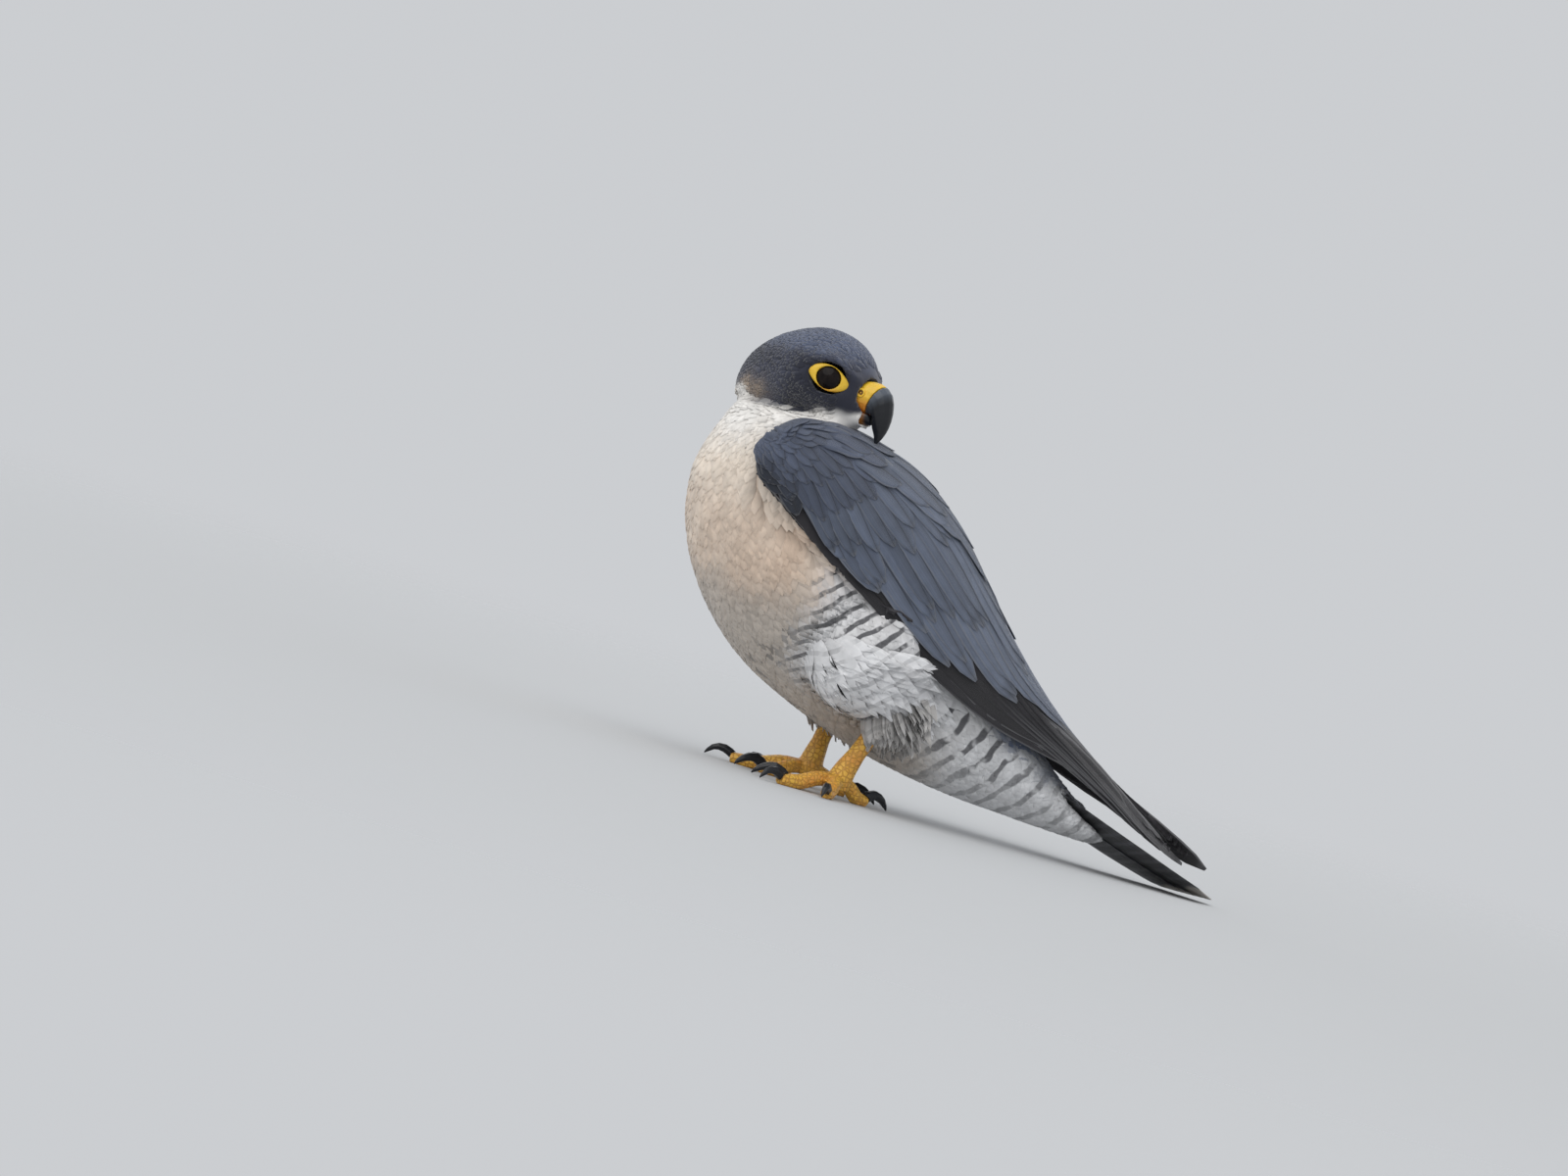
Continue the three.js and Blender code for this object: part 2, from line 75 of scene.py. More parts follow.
def put(thing, axes, at=(0, 0, 0)):
    """Links an object whose own X, Y and Z point along these three axes, at a place in mm."""
    turned = np.eye(4)
    turned[:3, :3] = np.transpose(axes)
    turned[:3, 3] = np.array(at) * MM
    thing.matrix_world = Matrix(turned.tolist())
    bpy.context.scene.collection.objects.link(thing)


camera_data = bpy.data.cameras.new("camera")
camera_data.sensor_width = SENSOR
camera_data.lens = SENSOR * DISTANCE / (IMAGE[0] * SCALE)
camera_data.clip_end = 100
camera = bpy.data.objects.new("camera", camera_data)
put(camera, (camera_right, camera_up, -ahead), place)
bpy.context.scene.camera = camera
print("camera height above the floor, mm:", round(place[2], 1))

# %% [markdown]
# ## Shader sums
# Colour patterns are sums of coordinates and noise. Wiring a Math node by hand for each plus sign
# is slow to read, so a small class wraps a node's socket: adding, multiplying or comparing two of
# them adds the Math node and gives back its result.

# %% A wrapped socket
class Value:
    """A number that varies over a surface: arithmetic on it adds Math nodes to its material."""

    def __init__(self, paint, socket):
        self.paint, self.socket = paint, socket

    def maths(self, operation, first, second=0.0, clamp=False):
        settings = {"operation": operation, "use_clamp": clamp}
        return self.paint.node("ShaderNodeMath", settings, {0: first, 1: second})

    def __add__(self, other):
        return self.maths("ADD", self, other)

    def __sub__(self, other):
        return self.maths("SUBTRACT", self, other)

    def __mul__(self, other):
        return self.maths("MULTIPLY", self, other)

    def __rsub__(self, other):
        return self.maths("SUBTRACT", other, self)

    __radd__, __rmul__ = __add__, __mul__

    def size(self):
        return self.maths("ABSOLUTE", self)

    def wave(self):
        return self.maths("SINE", self)

    def step(self, low, high):
        """0 below low, 1 above high, and smooth between."""
        settings = {"interpolation_type": "SMOOTHSTEP"}
        return self.paint.node("ShaderNodeMapRange", settings, {0: self, 1: low, 2: high})


class Paint:
    """One material and the few calls that its nodes are made with."""

    def __init__(self, name, roughness=0.6, **gloss):
        self.material = bpy.data.materials.new(name)
        self.material.use_nodes = True
        self.tree = self.material.node_tree
        self.shader = self.tree.nodes["Principled BSDF"]
        self.shader.inputs["Roughness"].default_value = roughness
        for socket, value in gloss.items():
            self.shader.inputs[socket.replace("_", " ")].default_value = value

    def node(self, kind, settings=None, values=None, output=0):
        """Adds a node, sets its settings first and then the values or links of its sockets."""
        made = self.tree.nodes.new(kind)
        for key, value in (settings or {}).items():
            setattr(made, key, value)
        for key, value in (values or {}).items():
            if isinstance(value, Value):
                self.tree.links.new(value.socket, made.inputs[key])
            else:
                made.inputs[key].default_value = value
        return Value(self, made.outputs[output])

    def place(self):
        """The Object coordinates as three values, in metres, and as one vector."""
        vector = self.node("ShaderNodeTexCoord", output="Object")
        parts = [self.node("ShaderNodeSeparateXYZ", None, {0: vector}, axis) for axis in "XYZ"]
        return parts, vector

    def noise(self, vector, scale, detail=3.0, stretch=None):
        """A soft random value about 0.5, its blobs about 1/scale of a metre across."""
        if stretch is not None:
            vector = self.node("ShaderNodeMapping", None, {"Vector": vector, "Scale": stretch})
        values = {"Vector": vector, "Scale": scale, "Detail": detail}
        return self.node("ShaderNodeTexNoise", None, values, "Fac")

    def mix(self, share, first, second):
        """The first colour where share is 0, the second where it is 1."""
        return self.node("ShaderNodeMix", {"data_type": "RGBA"}, {0: share, 6: first, 7: second}, 2)

    def shade(self, colour, share):
        """The colour times a grey value."""
        return self.node("ShaderNodeVectorMath", {"operation": "SCALE"}, {0: colour, "Scale": share})

    def given(self):
        """The colour that each point of the mesh was given, and the fourth number that goes with it."""
        marked = self.tree.nodes.new("ShaderNodeAttribute")
        marked.attribute_name = "plumage"
        return Value(self, marked.outputs["Color"]), Value(self, marked.outputs["Alpha"])

    def vane(self):
        """A feather's own map: how far from its shaft, how far along it, and both as one vector."""
        vector = self.node("ShaderNodeUVMap", {"uv_map": "Vane"}, None, "UV")
        s, t = (self.node("ShaderNodeSeparateXYZ", None, {0: vector}, axis) for axis in "XY")
        return (s * 2 - 1).size(), t, vector

    def wear(self, colour=None, bump=None, depth=0.0005, **others):
        """Links what varies to the shader: its colour, its relief and any other named socket."""
        if colour is not None:
            self.tree.links.new(colour.socket, self.shader.inputs["Base Color"])
        for socket, value in others.items():
            self.tree.links.new(value.socket, self.shader.inputs[socket.replace("_", " ")])
        if bump is not None:
            raised = self.node("ShaderNodeBump", None, {"Height": bump, "Distance": depth, "Strength": 0.6})
            self.tree.links.new(raised.socket, self.shader.inputs["Normal"])
        return self.material


print("shader sums ready")

# %% [markdown]
# ## Floor and light
# The bird stands on a plain pale floor. A square floor would show its edge from so low down, so a
# wide disc fades out into a world of the same colour. One large soft lamp stands for the open sky on
# the left, and a weaker one lifts the far side.

# %% Floor, world and lamps
PALE = (0.52, 0.53, 0.54, 1)
FLOOR_RADIUS = 2400
FADE = (0.35, 2.0)  # metres from the middle, where the floor starts and ends fading out


def lattice(first, second, closed=True):
    """Quads over a grid of first by second points that is closed along the second way, and along
    the first way too where asked."""
    i, j = np.meshgrid(np.arange(first if closed else first - 1), np.arange(second), indexing="ij")
    k, m = (i + 1) % first, (j + 1) % second
    return np.stack([i * second + j, i * second + m, k * second + m, k * second + j], -1).reshape(-1, 4)


def floor_disc(radius, rings=12, sides=96):
    """A flat disc: radius * t at angle a, for t in 0..1 and a once round, with a fan in the middle."""
    t, a = np.meshgrid(np.linspace(0, 1, rings + 1)[1:], np.arange(sides) / sides * 2 * np.pi, indexing="ij")
    points = np.stack([radius * t * np.cos(a), radius * t * np.sin(a), 0 * t], -1).reshape(-1, 3)
    j = np.arange(sides)
    fan = np.stack([np.full(sides, len(points)), j, (j + 1) % sides], -1)
    return np.vstack([points, [[0, 0, 0]]]), lattice(rings, sides, False)[:, ::-1], fan


points, quads, fan = floor_disc(FLOOR_RADIUS)
mesh = bpy.data.meshes.new("floor")
mesh.from_pydata((points * MM).tolist(), [], quads.tolist() + fan.tolist())
floor = bpy.data.objects.new("floor", mesh)
bpy.context.scene.collection.objects.link(floor)
paint = Paint("floor", roughness=0.9)
place_vector = paint.place()[1]
distance = paint.node("ShaderNodeVectorMath", {"operation": "LENGTH"}, {0: place_vector}, "Value")
paint.shader.inputs["Base Color"].default_value = PALE
floor.data.materials.append(paint.wear(Alpha=1 - distance.step(*FADE)))

world = bpy.data.worlds.new("pale")
world.use_nodes = True
world.node_tree.nodes["Background"].inputs["Color"].default_value = (0.80, 0.82, 0.85, 1)
world.node_tree.nodes["Background"].inputs["Strength"].default_value = 0.75
bpy.context.scene.world = world
bpy.context.scene.view_settings.view_transform = "Standard"


def lamp(name, towards, strength, softness, colour=(1, 1, 1)):
    """A far lamp as wide as a good part of the sky, so it lights the bird and all the floor alike."""
    data = bpy.data.lights.new(name, "SUN")
    data.energy, data.angle, data.color = strength, np.radians(softness), colour
    lit = bpy.data.objects.new(name, data)
    back = np.array(towards) / np.linalg.norm(towards)
    side = np.cross([0, 0, 1], back)
    side = side / np.linalg.norm(side)
    put(lit, (side, np.cross(back, side), back))


lamp("sky", (-1.4, -1.2, 2.2), 1.5, 70, (1, 0.99, 0.97))
lamp("far", (0.6, 1.6, 1.2), 0.45, 90)
print("floor, world and two lamps")

# %% [markdown]
# ## From arrays to pieces
# Every piece below is worked out as whole arrays of points, so one call puts such an array into a
# mesh. It also gives the mesh its maps: which way a feather runs, where its root sits on the body,
# and which colour its place on the bird has.

# %% Making a piece
def piece(name, points, faces, finish, maps=None, colour=None, smooth=True):
    """One object at the origin from points in mm and an array of faces with as many corners each."""
    count, corners = faces.shape
    mesh = bpy.data.meshes.new(name)
    mesh.vertices.add(len(points))
    mesh.vertices.foreach_set("co", (np.asarray(points) * MM).astype(np.float32).ravel())
    mesh.loops.add(count * corners)
    mesh.loops.foreach_set("vertex_index", faces.astype(np.int32).ravel())
    mesh.polygons.add(count)
    mesh.polygons.foreach_set("loop_start", np.arange(0, count * corners, corners, dtype=np.int32))
    mesh.polygons.foreach_set("use_smooth", np.broadcast_to(smooth, count).astype(bool))
    for title, uv in (maps or {}).items():
        layer = mesh.uv_layers.new(name=title)
        layer.data.foreach_set("uv", uv[faces.ravel()].astype(np.float32).ravel())
    if colour is not None:
        layer = mesh.color_attributes.new(name="plumage", type="FLOAT_COLOR", domain="POINT")
        layer.data.foreach_set("color", colour.astype(np.float32).ravel())
    mesh.update(calc_edges=True)
    made = bpy.data.objects.new(name, mesh)
    bpy.context.scene.collection.objects.link(made)
    mesh.materials.append(finish)
    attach(made, "root")
    return made


def unit(vectors):
    """Each vector at length one."""
    return vectors / np.maximum(np.linalg.norm(vectors, axis=-1, keepdims=True), 1e-9)


def smoothstep(low, high, value):
    """0 below low, 1 above high, and smooth between."""
    t = np.clip((value - low) / (high - low), 0, 1)
    return t * t * (3 - 2 * t)


def bump(value, centre, width):
    """A bell of height one at centre."""
    return np.exp(-(((value - centre) / width) ** 2))


print("one call makes a piece")

# %% [markdown]
# ## One skin out of many solids
# The solids part the flesh into head, neck, torso, rump and thighs, with a thin gap between them.
# A living bird shows no such seams. Copies of the solids are merged, wrapped by a voxel remesh
# whose cells are wider than the gaps, and relaxed, and the result is drawn in by the depth of the
# coat that goes over it.

# %% Wrapping solids
def arrays_of(mesh):
    """A mesh's points in metres and the point at each of its corners."""
    co = np.empty(len(mesh.vertices) * 3, dtype=np.float32)
    mesh.vertices.foreach_get("co", co)
    corners = np.empty(len(mesh.loops), dtype=np.int32)
    mesh.loops.foreach_get("vertex_index", corners)
    return co.reshape(-1, 3), corners


def merged(nodes):
    """The points, in mm, and triangles of copies of these solids, with doubled points merged."""
    everything, triangles, start = [], [], 0
    for node in nodes:
        co, corners = arrays_of(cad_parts[node].data)
        same, index = np.unique(np.round(co / MM, 3), axis=0, return_inverse=True)
        everything.append(same)
        triangles.append(index.ravel()[corners].reshape(-1, 3) + start)
        start += len(same)
    return np.vstack(everything), np.vstack(triangles)


def gathered(index, vectors, count):
    """The sum of the vectors that go to each of count places."""
    return np.stack([np.bincount(index, vectors[:, k], count) for k in range(3)], -1)


def normals_of(points, faces):
    """Each point's outward direction: the sum of the directions of the faces that meet there."""
    start = points[faces[:, 0]]
    face = np.cross(points[faces[:, 1]] - start, points[faces[:, 2]] - start)
    return unit(gathered(faces.ravel(), np.repeat(face, faces.shape[1], axis=0), len(points)))


def outward(points, faces):
    """The faces of a closed form, turned over where they look inwards."""
    inwards = (normals_of(points, faces) * (points - points.mean(0))).sum() < 0
    return faces[:, ::-1] if inwards else faces


def relaxed(points, faces, rounds, share=0.5, back=0.52):
    """Moves each point part of the way to its neighbours' mean and back a little, round by round."""
    pairs = np.stack([faces, np.roll(faces, -1, axis=1)], -1).transpose(1, 0, 2).reshape(-1, 2)
    many = np.bincount(pairs[:, 0], minlength=len(points))[:, None] + 1e-9
    for _ in range(rounds):
        for step in (share, -back) if back else (share,):
            mean = gathered(pairs[:, 0], points[pairs[:, 1]], len(points)) / many
            points = points + step * (mean - points)
    return points


def wrapped(nodes, voxel, rounds, inward):
    """One closed surface round these solids, in cells of voxel mm, relaxed, then drawn in."""
    points, triangles = merged(nodes)
    mesh = bpy.data.meshes.new("wrap")
    mesh.from_pydata((points * MM).tolist(), [], triangles.tolist())
    rough = bpy.data.objects.new("wrap", mesh)
    bpy.context.scene.collection.objects.link(rough)
    remesh = rough.modifiers.new("cells", "REMESH")
    remesh.mode, remesh.voxel_size = "VOXEL", voxel * MM
    done = bpy.data.meshes.new_from_object(rough.evaluated_get(bpy.context.evaluated_depsgraph_get()))
    co, corners = arrays_of(done)
    bpy.data.objects.remove(rough)
    faces = corners.reshape(-1, 4)
    points = relaxed(co.astype(float) / MM, faces, rounds)
    points = points - normals_of(points, faces) * inward
    return points, faces


FLESH = ["head", "neck", "torso", "rump", "thigh_left", "thigh_right"]
SKIN_CELL = 1.6
COAT_DEPTH = 1.1
CALM = (158, 172)  # heights between which the stronger relaxing of the body ends

skin_points, skin_faces = wrapped(FLESH, SKIN_CELL, 9, 0.0)
# the body has broad flat facets still, so it is relaxed much more than the finely shaped head
calm = relaxed(skin_points, skin_faces, 34, 0.55, 0.0)
share = smoothstep(CALM[1], CALM[0], skin_points[:, 2])[:, None]
skin_points = skin_points * (1 - share) + calm * share
skin_points = skin_points - normals_of(skin_points, skin_faces) * COAT_DEPTH
skin_normals = normals_of(skin_points, skin_faces)
print("skin of", len(skin_points), "points")

# %% [markdown]
# ## The map of the bird
# A peregrine's markings follow its body: a dark hood with a broad moustache, white cheeks and
# throat, a cream breast that turns buff at the crop, and a greyish belly and white flanks with dark
# bars. Painting them by hand would tie them to one mesh. Here each is a mask worked out from a
# place on the bird, so that the skin and the feathers that grow from it get the same colour.

# %% The lines that the markings follow
HEAD_CENTRE = np.array([-110, 0, 184.5])
HEAD_TURN = np.radians(-50)
HEAD_FORWARD = np.array([np.cos(HEAD_TURN), np.sin(HEAD_TURN), 0])
UP = np.array([0, 0, 1.0])
HEAD_RIGHT = np.cross(HEAD_FORWARD, UP)
SPINE = np.array([
    (-111, 178), (-113, 165), (-116, 150), (-116, 132), (-103, 114), (-80, 97),
    (-54, 80), (-20, 60), (16, 42), (48, 29), (74, 20.5), (93, 15)])  # x and z, from the head back


def spline(keys, count):
    """A smooth curve through the keys, each cubic between four of them, at count + 1 even places."""
    last = len(keys) - 1
    at = np.linspace(0, last, count + 1)
    i = np.minimum(at.astype(int), last - 1)
    t = (at - i)[:, None]
    a, b, c, d = keys[np.maximum(i - 1, 0)], keys[i], keys[i + 1], keys[np.minimum(i + 2, last)]
    return 0.5 * (2 * b + (c - a) * t + (2 * a - 5 * b + 4 * c - d) * t**2 + (3 * b - a - 3 * c + d) * t**3)


spine = spline(SPINE, 160)
spine_way = unit(np.gradient(spine, axis=0))
spine_dorsal = np.stack([-spine_way[:, 1], spine_way[:, 0]], -1)


def head_place(points):
    """How far forward, to the right and up from the head's centre each point lies."""
    d = points - HEAD_CENTRE
    return d @ HEAD_FORWARD, d @ HEAD_RIGHT, d[..., 2]


def body_place(points):
    """For each point: how far it lies off the spine, towards the back, and the nearest place on it."""
    flat = points[:, [0, 2]]
    nearest = np.argmin(((flat[:, None] - spine[None]) ** 2).sum(-1), axis=1)
    off = ((flat - spine[nearest]) * spine_dorsal[nearest]).sum(-1)
    return off, nearest


def on_head(at, side):
    """A place given forward, to the side and up from the head's centre, on one side of the head."""
    return HEAD_CENTRE + HEAD_FORWARD * at[0] + HEAD_RIGHT * at[1] * side + UP * at[2]


def wobble(points, size, seed):
    """A soft value between -1 and 1: three sines across each other, about size mm between crests."""
    rng = np.random.default_rng(seed)
    ways = unit(rng.normal(size=(3, 3))) * 2 * np.pi / size * rng.uniform(0.7, 1.3, (3, 1))
    return np.sin(points @ ways.T + rng.uniform(0, 6.3, 3)).mean(-1) * 1.5


print("spine of", len(spine), "places, head's centre at", HEAD_CENTRE)

# %% [markdown]
# The colours are named first. A marking's edge isn't straight on a living bird, so each is moved to
# and fro by a few crossed waves before its mask is worked out.

# %% The markings
CROWN = (0.085, 0.103, 0.160)
NAVY = (0.017, 0.019, 0.033)
CHEEK = (0.050, 0.055, 0.084)
NAPE = (0.46, 0.35, 0.25)
WHITE = (0.80, 0.775, 0.74)
CREAM = (0.78, 0.69, 0.59)
BUFF = (0.66, 0.47, 0.34)
BELLY = (0.47, 0.42, 0.37)
FLANK = (0.70, 0.70, 0.71)
SLATE = (0.085, 0.11, 0.175)
SPOT = (0.09, 0.085, 0.085)


def blend(colour, other, share):
    """Colours moved towards another one by share, from 0 to 1."""
    return colour + (np.asarray(other) - colour) * share[:, None]


def markings(points):
    """The plumage's colour at each point, and in the fourth column how strongly it is barred. High is
    the height over the floor; f and z are how far a point lies before and above the head's centre."""
    f, _, z = head_place(points)
    off = body_place(points)[0]
    high = points[:, 2]
    soft = wobble(points, 26, 1)
    fine = wobble(points, 9, 2)
    colour = np.tile(np.array(WHITE, float), (len(points), 1))
    colour = blend(colour, CREAM, smoothstep(168, 140, high + 4 * soft))
    crop = smoothstep(148, 122, high + 7 * soft) * smoothstep(70, 92, high)
    colour = blend(colour, BUFF, 0.75 * crop * (0.65 + 0.35 * soft))
    colour = blend(colour, BELLY, smoothstep(106, 84, high + 5 * soft) * 0.85)
    spots = smoothstep(0.8, 0.95, wobble(points, 8.5, 5)) * smoothstep(112, 96, high)
    colour = blend(colour, SPOT, spots * 0.6 * smoothstep(-125, -112, points[:, 0]))
    side = smoothstep(14, 34, np.abs(points[:, 1]) + 3 * soft) * smoothstep(124, 100, high)
    side = side * smoothstep(-114, -90, points[:, 0] + 4 * soft)
    colour = blend(colour, FLANK, side * 0.9)
    colour = blend(colour, FLANK, smoothstep(-30, 0, points[:, 0]) * smoothstep(60, 45, high))
    barred = np.maximum(side, smoothstep(-40, -10, points[:, 0]) * 0.55)
    back = smoothstep(4, 16, off + 3 * soft) * smoothstep(172, 160, high)
    back = back * smoothstep(-118, -106, points[:, 0])
    colour = blend(colour, SLATE, back)
    barred = barred * (1 - back)
    # the hood ends in a wavy edge under the cheek, with the navy moustache below and before the eye
    is_head = smoothstep(158, 166, high + 2 * fine)
    edge = -17 + 5.5 * smoothstep(12, 19, f) + 6 * smoothstep(-14, -28, f) + 1.2 * fine
    hood = smoothstep(edge - 1.5, edge + 2.5, z) * is_head
    hooded = np.tile(np.array(CHEEK, float), (len(points), 1))
    hooded = blend(hooded, CROWN, smoothstep(8, 15, z + 1.5 * fine))
    dark = bump(f, 11, 12) * smoothstep(13, 7, z) + 0.8 * bump(f, 9, 7) * smoothstep(2, -6, z)
    hooded = blend(hooded, NAVY, np.clip(1.15 * dark, 0, 1))
    hooded = blend(hooded, NAVY, 0.6 * bump(z, 5, 6) * smoothstep(4, -14, f))
    hooded = blend(hooded, NAVY, 0.9 * smoothstep(14, 20, f) * smoothstep(8, 2, z))
    patch = bump(f, -20, 8) * bump(z, -11, 5)
    hooded = blend(hooded, NAPE, np.clip(patch * (0.8 + 0.5 * fine), 0, 1))
    colour = colour * (1 - hood[:, None]) + hooded * hood[:, None]
    barred = barred * (1 - is_head)
    return np.hstack([colour, barred[:, None]])


def root_map(points):
    """Where each root lies on an unwrap of the body: along the spine, and the angle round it."""
    off, nearest = body_place(points)
    angle = np.arctan2(points[:, 1], off)
    return np.stack([0.02 + 0.96 * (nearest / (len(spine) - 1)), 0.5 + angle / 6.6], -1)


BAR = (0.045, 0.045, 0.052, 1)
SIDE_BARS = 0.0088  # metres from bar to bar on the sides
REAR_BARS = 0.0105  # and under the rump, where they run across the body


def feather_paint(name, roughness):
    """The colour that each place was given, a little mottled, with bars where it is marked as barred."""
    paint = Paint(name, roughness, Sheen_Weight=0.25, Sheen_Roughness=0.6, Specular_IOR_Level=0.2)
    colour, strength = paint.given()
    (x, _, z), place_vector = paint.place()
    mottle = paint.noise(place_vector, 260, 3)
    broad = paint.noise(place_vector, 55, 2)
    colour = paint.shade(colour, mottle * 0.35 + broad * 0.35 + 0.66)
    bend = (paint.noise(place_vector, 60, 2) - 0.5) * 0.009
    line = ((z - x * 0.94 + bend) * (2 * np.pi / SIDE_BARS)).wave()
    under = ((x * 0.87 - z * 0.5 + bend) * (2 * np.pi / REAR_BARS)).wave()
    rear = x.step(-0.034, -0.012)
    line = line * (1 - rear) + under * rear
    broken = paint.noise(place_vector, 130, 2).step(0.34, 0.5)
    bars = line.step(0.3, 0.75) * broken * strength
    colour = paint.mix(bars * 0.88, colour, BAR)
    hair = paint.noise(place_vector, 1500, 2, (1, 1, 0.3))
    return paint.wear(colour, bump=hair, depth=0.0002)


plumage = feather_paint("plumage", 0.85)
skin = piece("skin", skin_points, skin_faces, plumage, colour=markings(skin_points))
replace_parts(skin, *FLESH)
print("skin coloured")

# %% [markdown]
# ## Feathers as closed shells
# A feather here is a thin shell: a grid of points from root to tip and from edge to edge, a copy of
# it a hair lower, and a rim that joins them. Hair particles would look softer but can't leave the
# program as a mesh. All the feathers of a kind are made at once, as one array of grids.

# %% Shells from grids
def shells(tops, thick):
    """Closed shells from an array of grids (feather, along, across, xyz), each thick mm deep."""
    count, rows, columns = tops.shape[:3]
    along = np.gradient(tops, axis=1)
    across = np.gradient(tops, axis=2)
    below = tops - unit(np.cross(along, across)) * thick
    points = np.concatenate([tops.reshape(count, -1, 3), below.reshape(count, -1, 3)], axis=1)
    size = rows * columns
    i, j = np.meshgrid(np.arange(rows - 1), np.arange(columns - 1), indexing="ij")
    a = (i * columns + j).ravel()
    top = np.stack([a, a + columns, a + columns + 1, a + 1], -1)
    ring = np.concatenate([np.arange(columns), np.arange(2, rows + 1) * columns - 1,
                           size - 2 - np.arange(columns - 1), np.arange(rows - 2, 0, -1) * columns])
    after = np.roll(ring, -1)
    rim = np.stack([ring, after, after + size, ring + size], -1)
    one = np.vstack([top, top[:, ::-1] + size, rim])
    faces = (one[None] + (np.arange(count) * 2 * size)[:, None, None]).reshape(-1, 4)
    smooth = np.tile(np.arange(len(one)) < 2 * len(top), count)  # a smooth rim would darken the edges
    return points.reshape(-1, 3), faces, smooth


def vane_map(count, rows, columns):
    """Each shell's own map: across from 0 to 1 and along from 0 at the root to 1 at the tip."""
    t, s = np.meshgrid(np.linspace(0, 1, rows), np.linspace(0, 1, columns), indexing="ij")
    one = np.stack([s, t], -1).reshape(-1, 2)
    return np.tile(np.vstack([one, one]), (count, 1))


PATCH = 0.003


def patches(roots, own):
    """Each shell's patch, a square of side PATCH on the body's unwrap, round its root's place."""
    each = len(own) // len(roots)
    return np.repeat(roots, each, axis=0) + (own - 0.5) * PATCH


COAT_OUTLINE = np.array([0.45, 0.85, 1.0, 0.85, 0.3])  # a small feather's width from root to tip
COAT_ROWS = len(COAT_OUTLINE)


def small_feathers(roots, normal, way, length, half, lift, drop, columns):
    """One small feather at each root: along its way it rises by lift and falls by drop * t squared,
    it is widest past its middle, and its edges hang a little lower than its shaft."""
    t = np.linspace(0, 1, COAT_ROWS)[None, :, None, None]
    s = np.linspace(-1, 1, columns)[None, None, :, None]
    wide = COAT_OUTLINE[None, :, None, None] * half[:, None, None, None]
    side = unit(np.cross(way, normal))
    way, normal, side = (v[:, None, None, :] for v in (way, normal, side))
    lift, drop, reach = (v[:, None, None, None] for v in (lift, drop, length))
    return (roots[:, None, None] + way * reach * (t - 0.12 * s**2 * t) + side * wide * s
            + normal * (lift * t - drop * t**2 - 0.18 * wide * s**2))


print("shells ready")

# %% [markdown]
# ## The body's coat
# On the face the feathers are tiny and lie flat. They grow longer and looser down the breast and
# belly. Roots are spread evenly: many random places are drawn on the skin, and one is kept in each
# cell of a fine lattice. Each feather lies along the body, from the bill back and down to the tail.

# %% Where the feathers lie
def lie(points, normals):
    """The way that feathers point: back from the bill on the head, along the spine on the body."""
    f = head_place(points)[0]
    off, nearest = body_place(points)
    body = np.stack([spine_way[nearest, 0], 0 * off, spine_way[nearest, 1]], -1)
    head = -HEAD_FORWARD - UP * (0.25 + 0.5 * smoothstep(0, -20, f))[:, None]
    share = smoothstep(150, 178, points[:, 2])[:, None]
    way = body * (1 - share) + head * share
    thigh = smoothstep(20, 30, np.abs(points[:, 1])) * smoothstep(72, 58, points[:, 2])
    thigh = (thigh * smoothstep(-20, -34, points[:, 0]))[:, None]
    way = way * (1 - thigh) + np.array([0.35, 0, -0.95]) * thigh
    way = way - normals * (way * normals).sum(-1, keepdims=True)
    return unit(way)


EYE_AT = np.array([13.5, 15.2, 1.9])  # forward of, beside and above the head's centre
EYE_CLEAR = (9.4, 5.9)  # half the length and height of the bare oval round an eye
wing_points = merged(["wing_left", "wing_right"])[0]
WING_GAP = 4.0


def roots_on_skin(rng, spacing, keep):
    """Even random roots: places drawn on the skin's quads, one kept in each cell of spacing mm."""
    a, b, c, d = skin_points[skin_faces].transpose(1, 0, 2)
    chosen = np.flatnonzero(keep((a + b + c + d) / 4))
    area = np.linalg.norm(np.cross(c - a, d - b), axis=1)[chosen] / 2
    many = int(area.sum() / spacing**2 * 3)
    which = chosen[rng.choice(len(chosen), many, p=area / area.sum())]
    u, v = rng.random((2, many, 1))
    spots = (a[which] * (1 - u) + b[which] * u) * (1 - v) + (d[which] * (1 - u) + c[which] * u) * v
    first = np.unique(np.floor(spots / spacing).astype(int), axis=0, return_index=True)[1]
    normals = unit(sum(skin_normals[skin_faces[which[first], k]] for k in range(4)))
    return spots[first], normals


def clear_of_wings(points):
    """True where no point of a wing's solid lies close."""
    near = np.full(len(points), 1e9)
    for part in np.array_split(wing_points, 12):
        near = np.minimum(near, np.linalg.norm(points[:, None] - part[None], axis=-1).min(1))
    return near > WING_GAP


def clear_of_face(points):
    """True where a feather wouldn't grow through an eye's ring, the cere or the bill."""
    f, r, z = head_place(points)
    eye = np.hypot((f - EYE_AT[0]) / EYE_CLEAR[0], (z - EYE_AT[2]) / EYE_CLEAR[1]) > 1
    return (eye | (np.abs(r) < 8)) & (f < 23.5 + 0.2 * z) | (z < -26)


skin_tree = BVHTree.FromPolygons(skin_points.tolist(), skin_faces.tolist())


def settled(tops, low, high, loose):
    """Lays feathers on the skin: each point's height over the skin goes evenly from low at the root
    to high at the tip, and the share called loose of its own height over that is kept."""
    flat = tops.reshape(-1, 3)
    found = [skin_tree.find_nearest(point)[:2] for point in flat.tolist()]
    near, away = np.array(found).transpose(1, 0, 2)
    t = np.linspace(0, 1, tops.shape[1])[None, :, None, None]
    s = np.linspace(-1, 1, tops.shape[2])[None, None, :, None]
    own = ((flat - near) * away).sum(-1).reshape(tops.shape[:3] + (1,))
    height = low + (high - low) * t + np.maximum(own, 0) * loose * t
    height = height - 0.22 * s**2 * (1 - 0.5 * t)
    return near.reshape(tops.shape) + away.reshape(tops.shape) * height


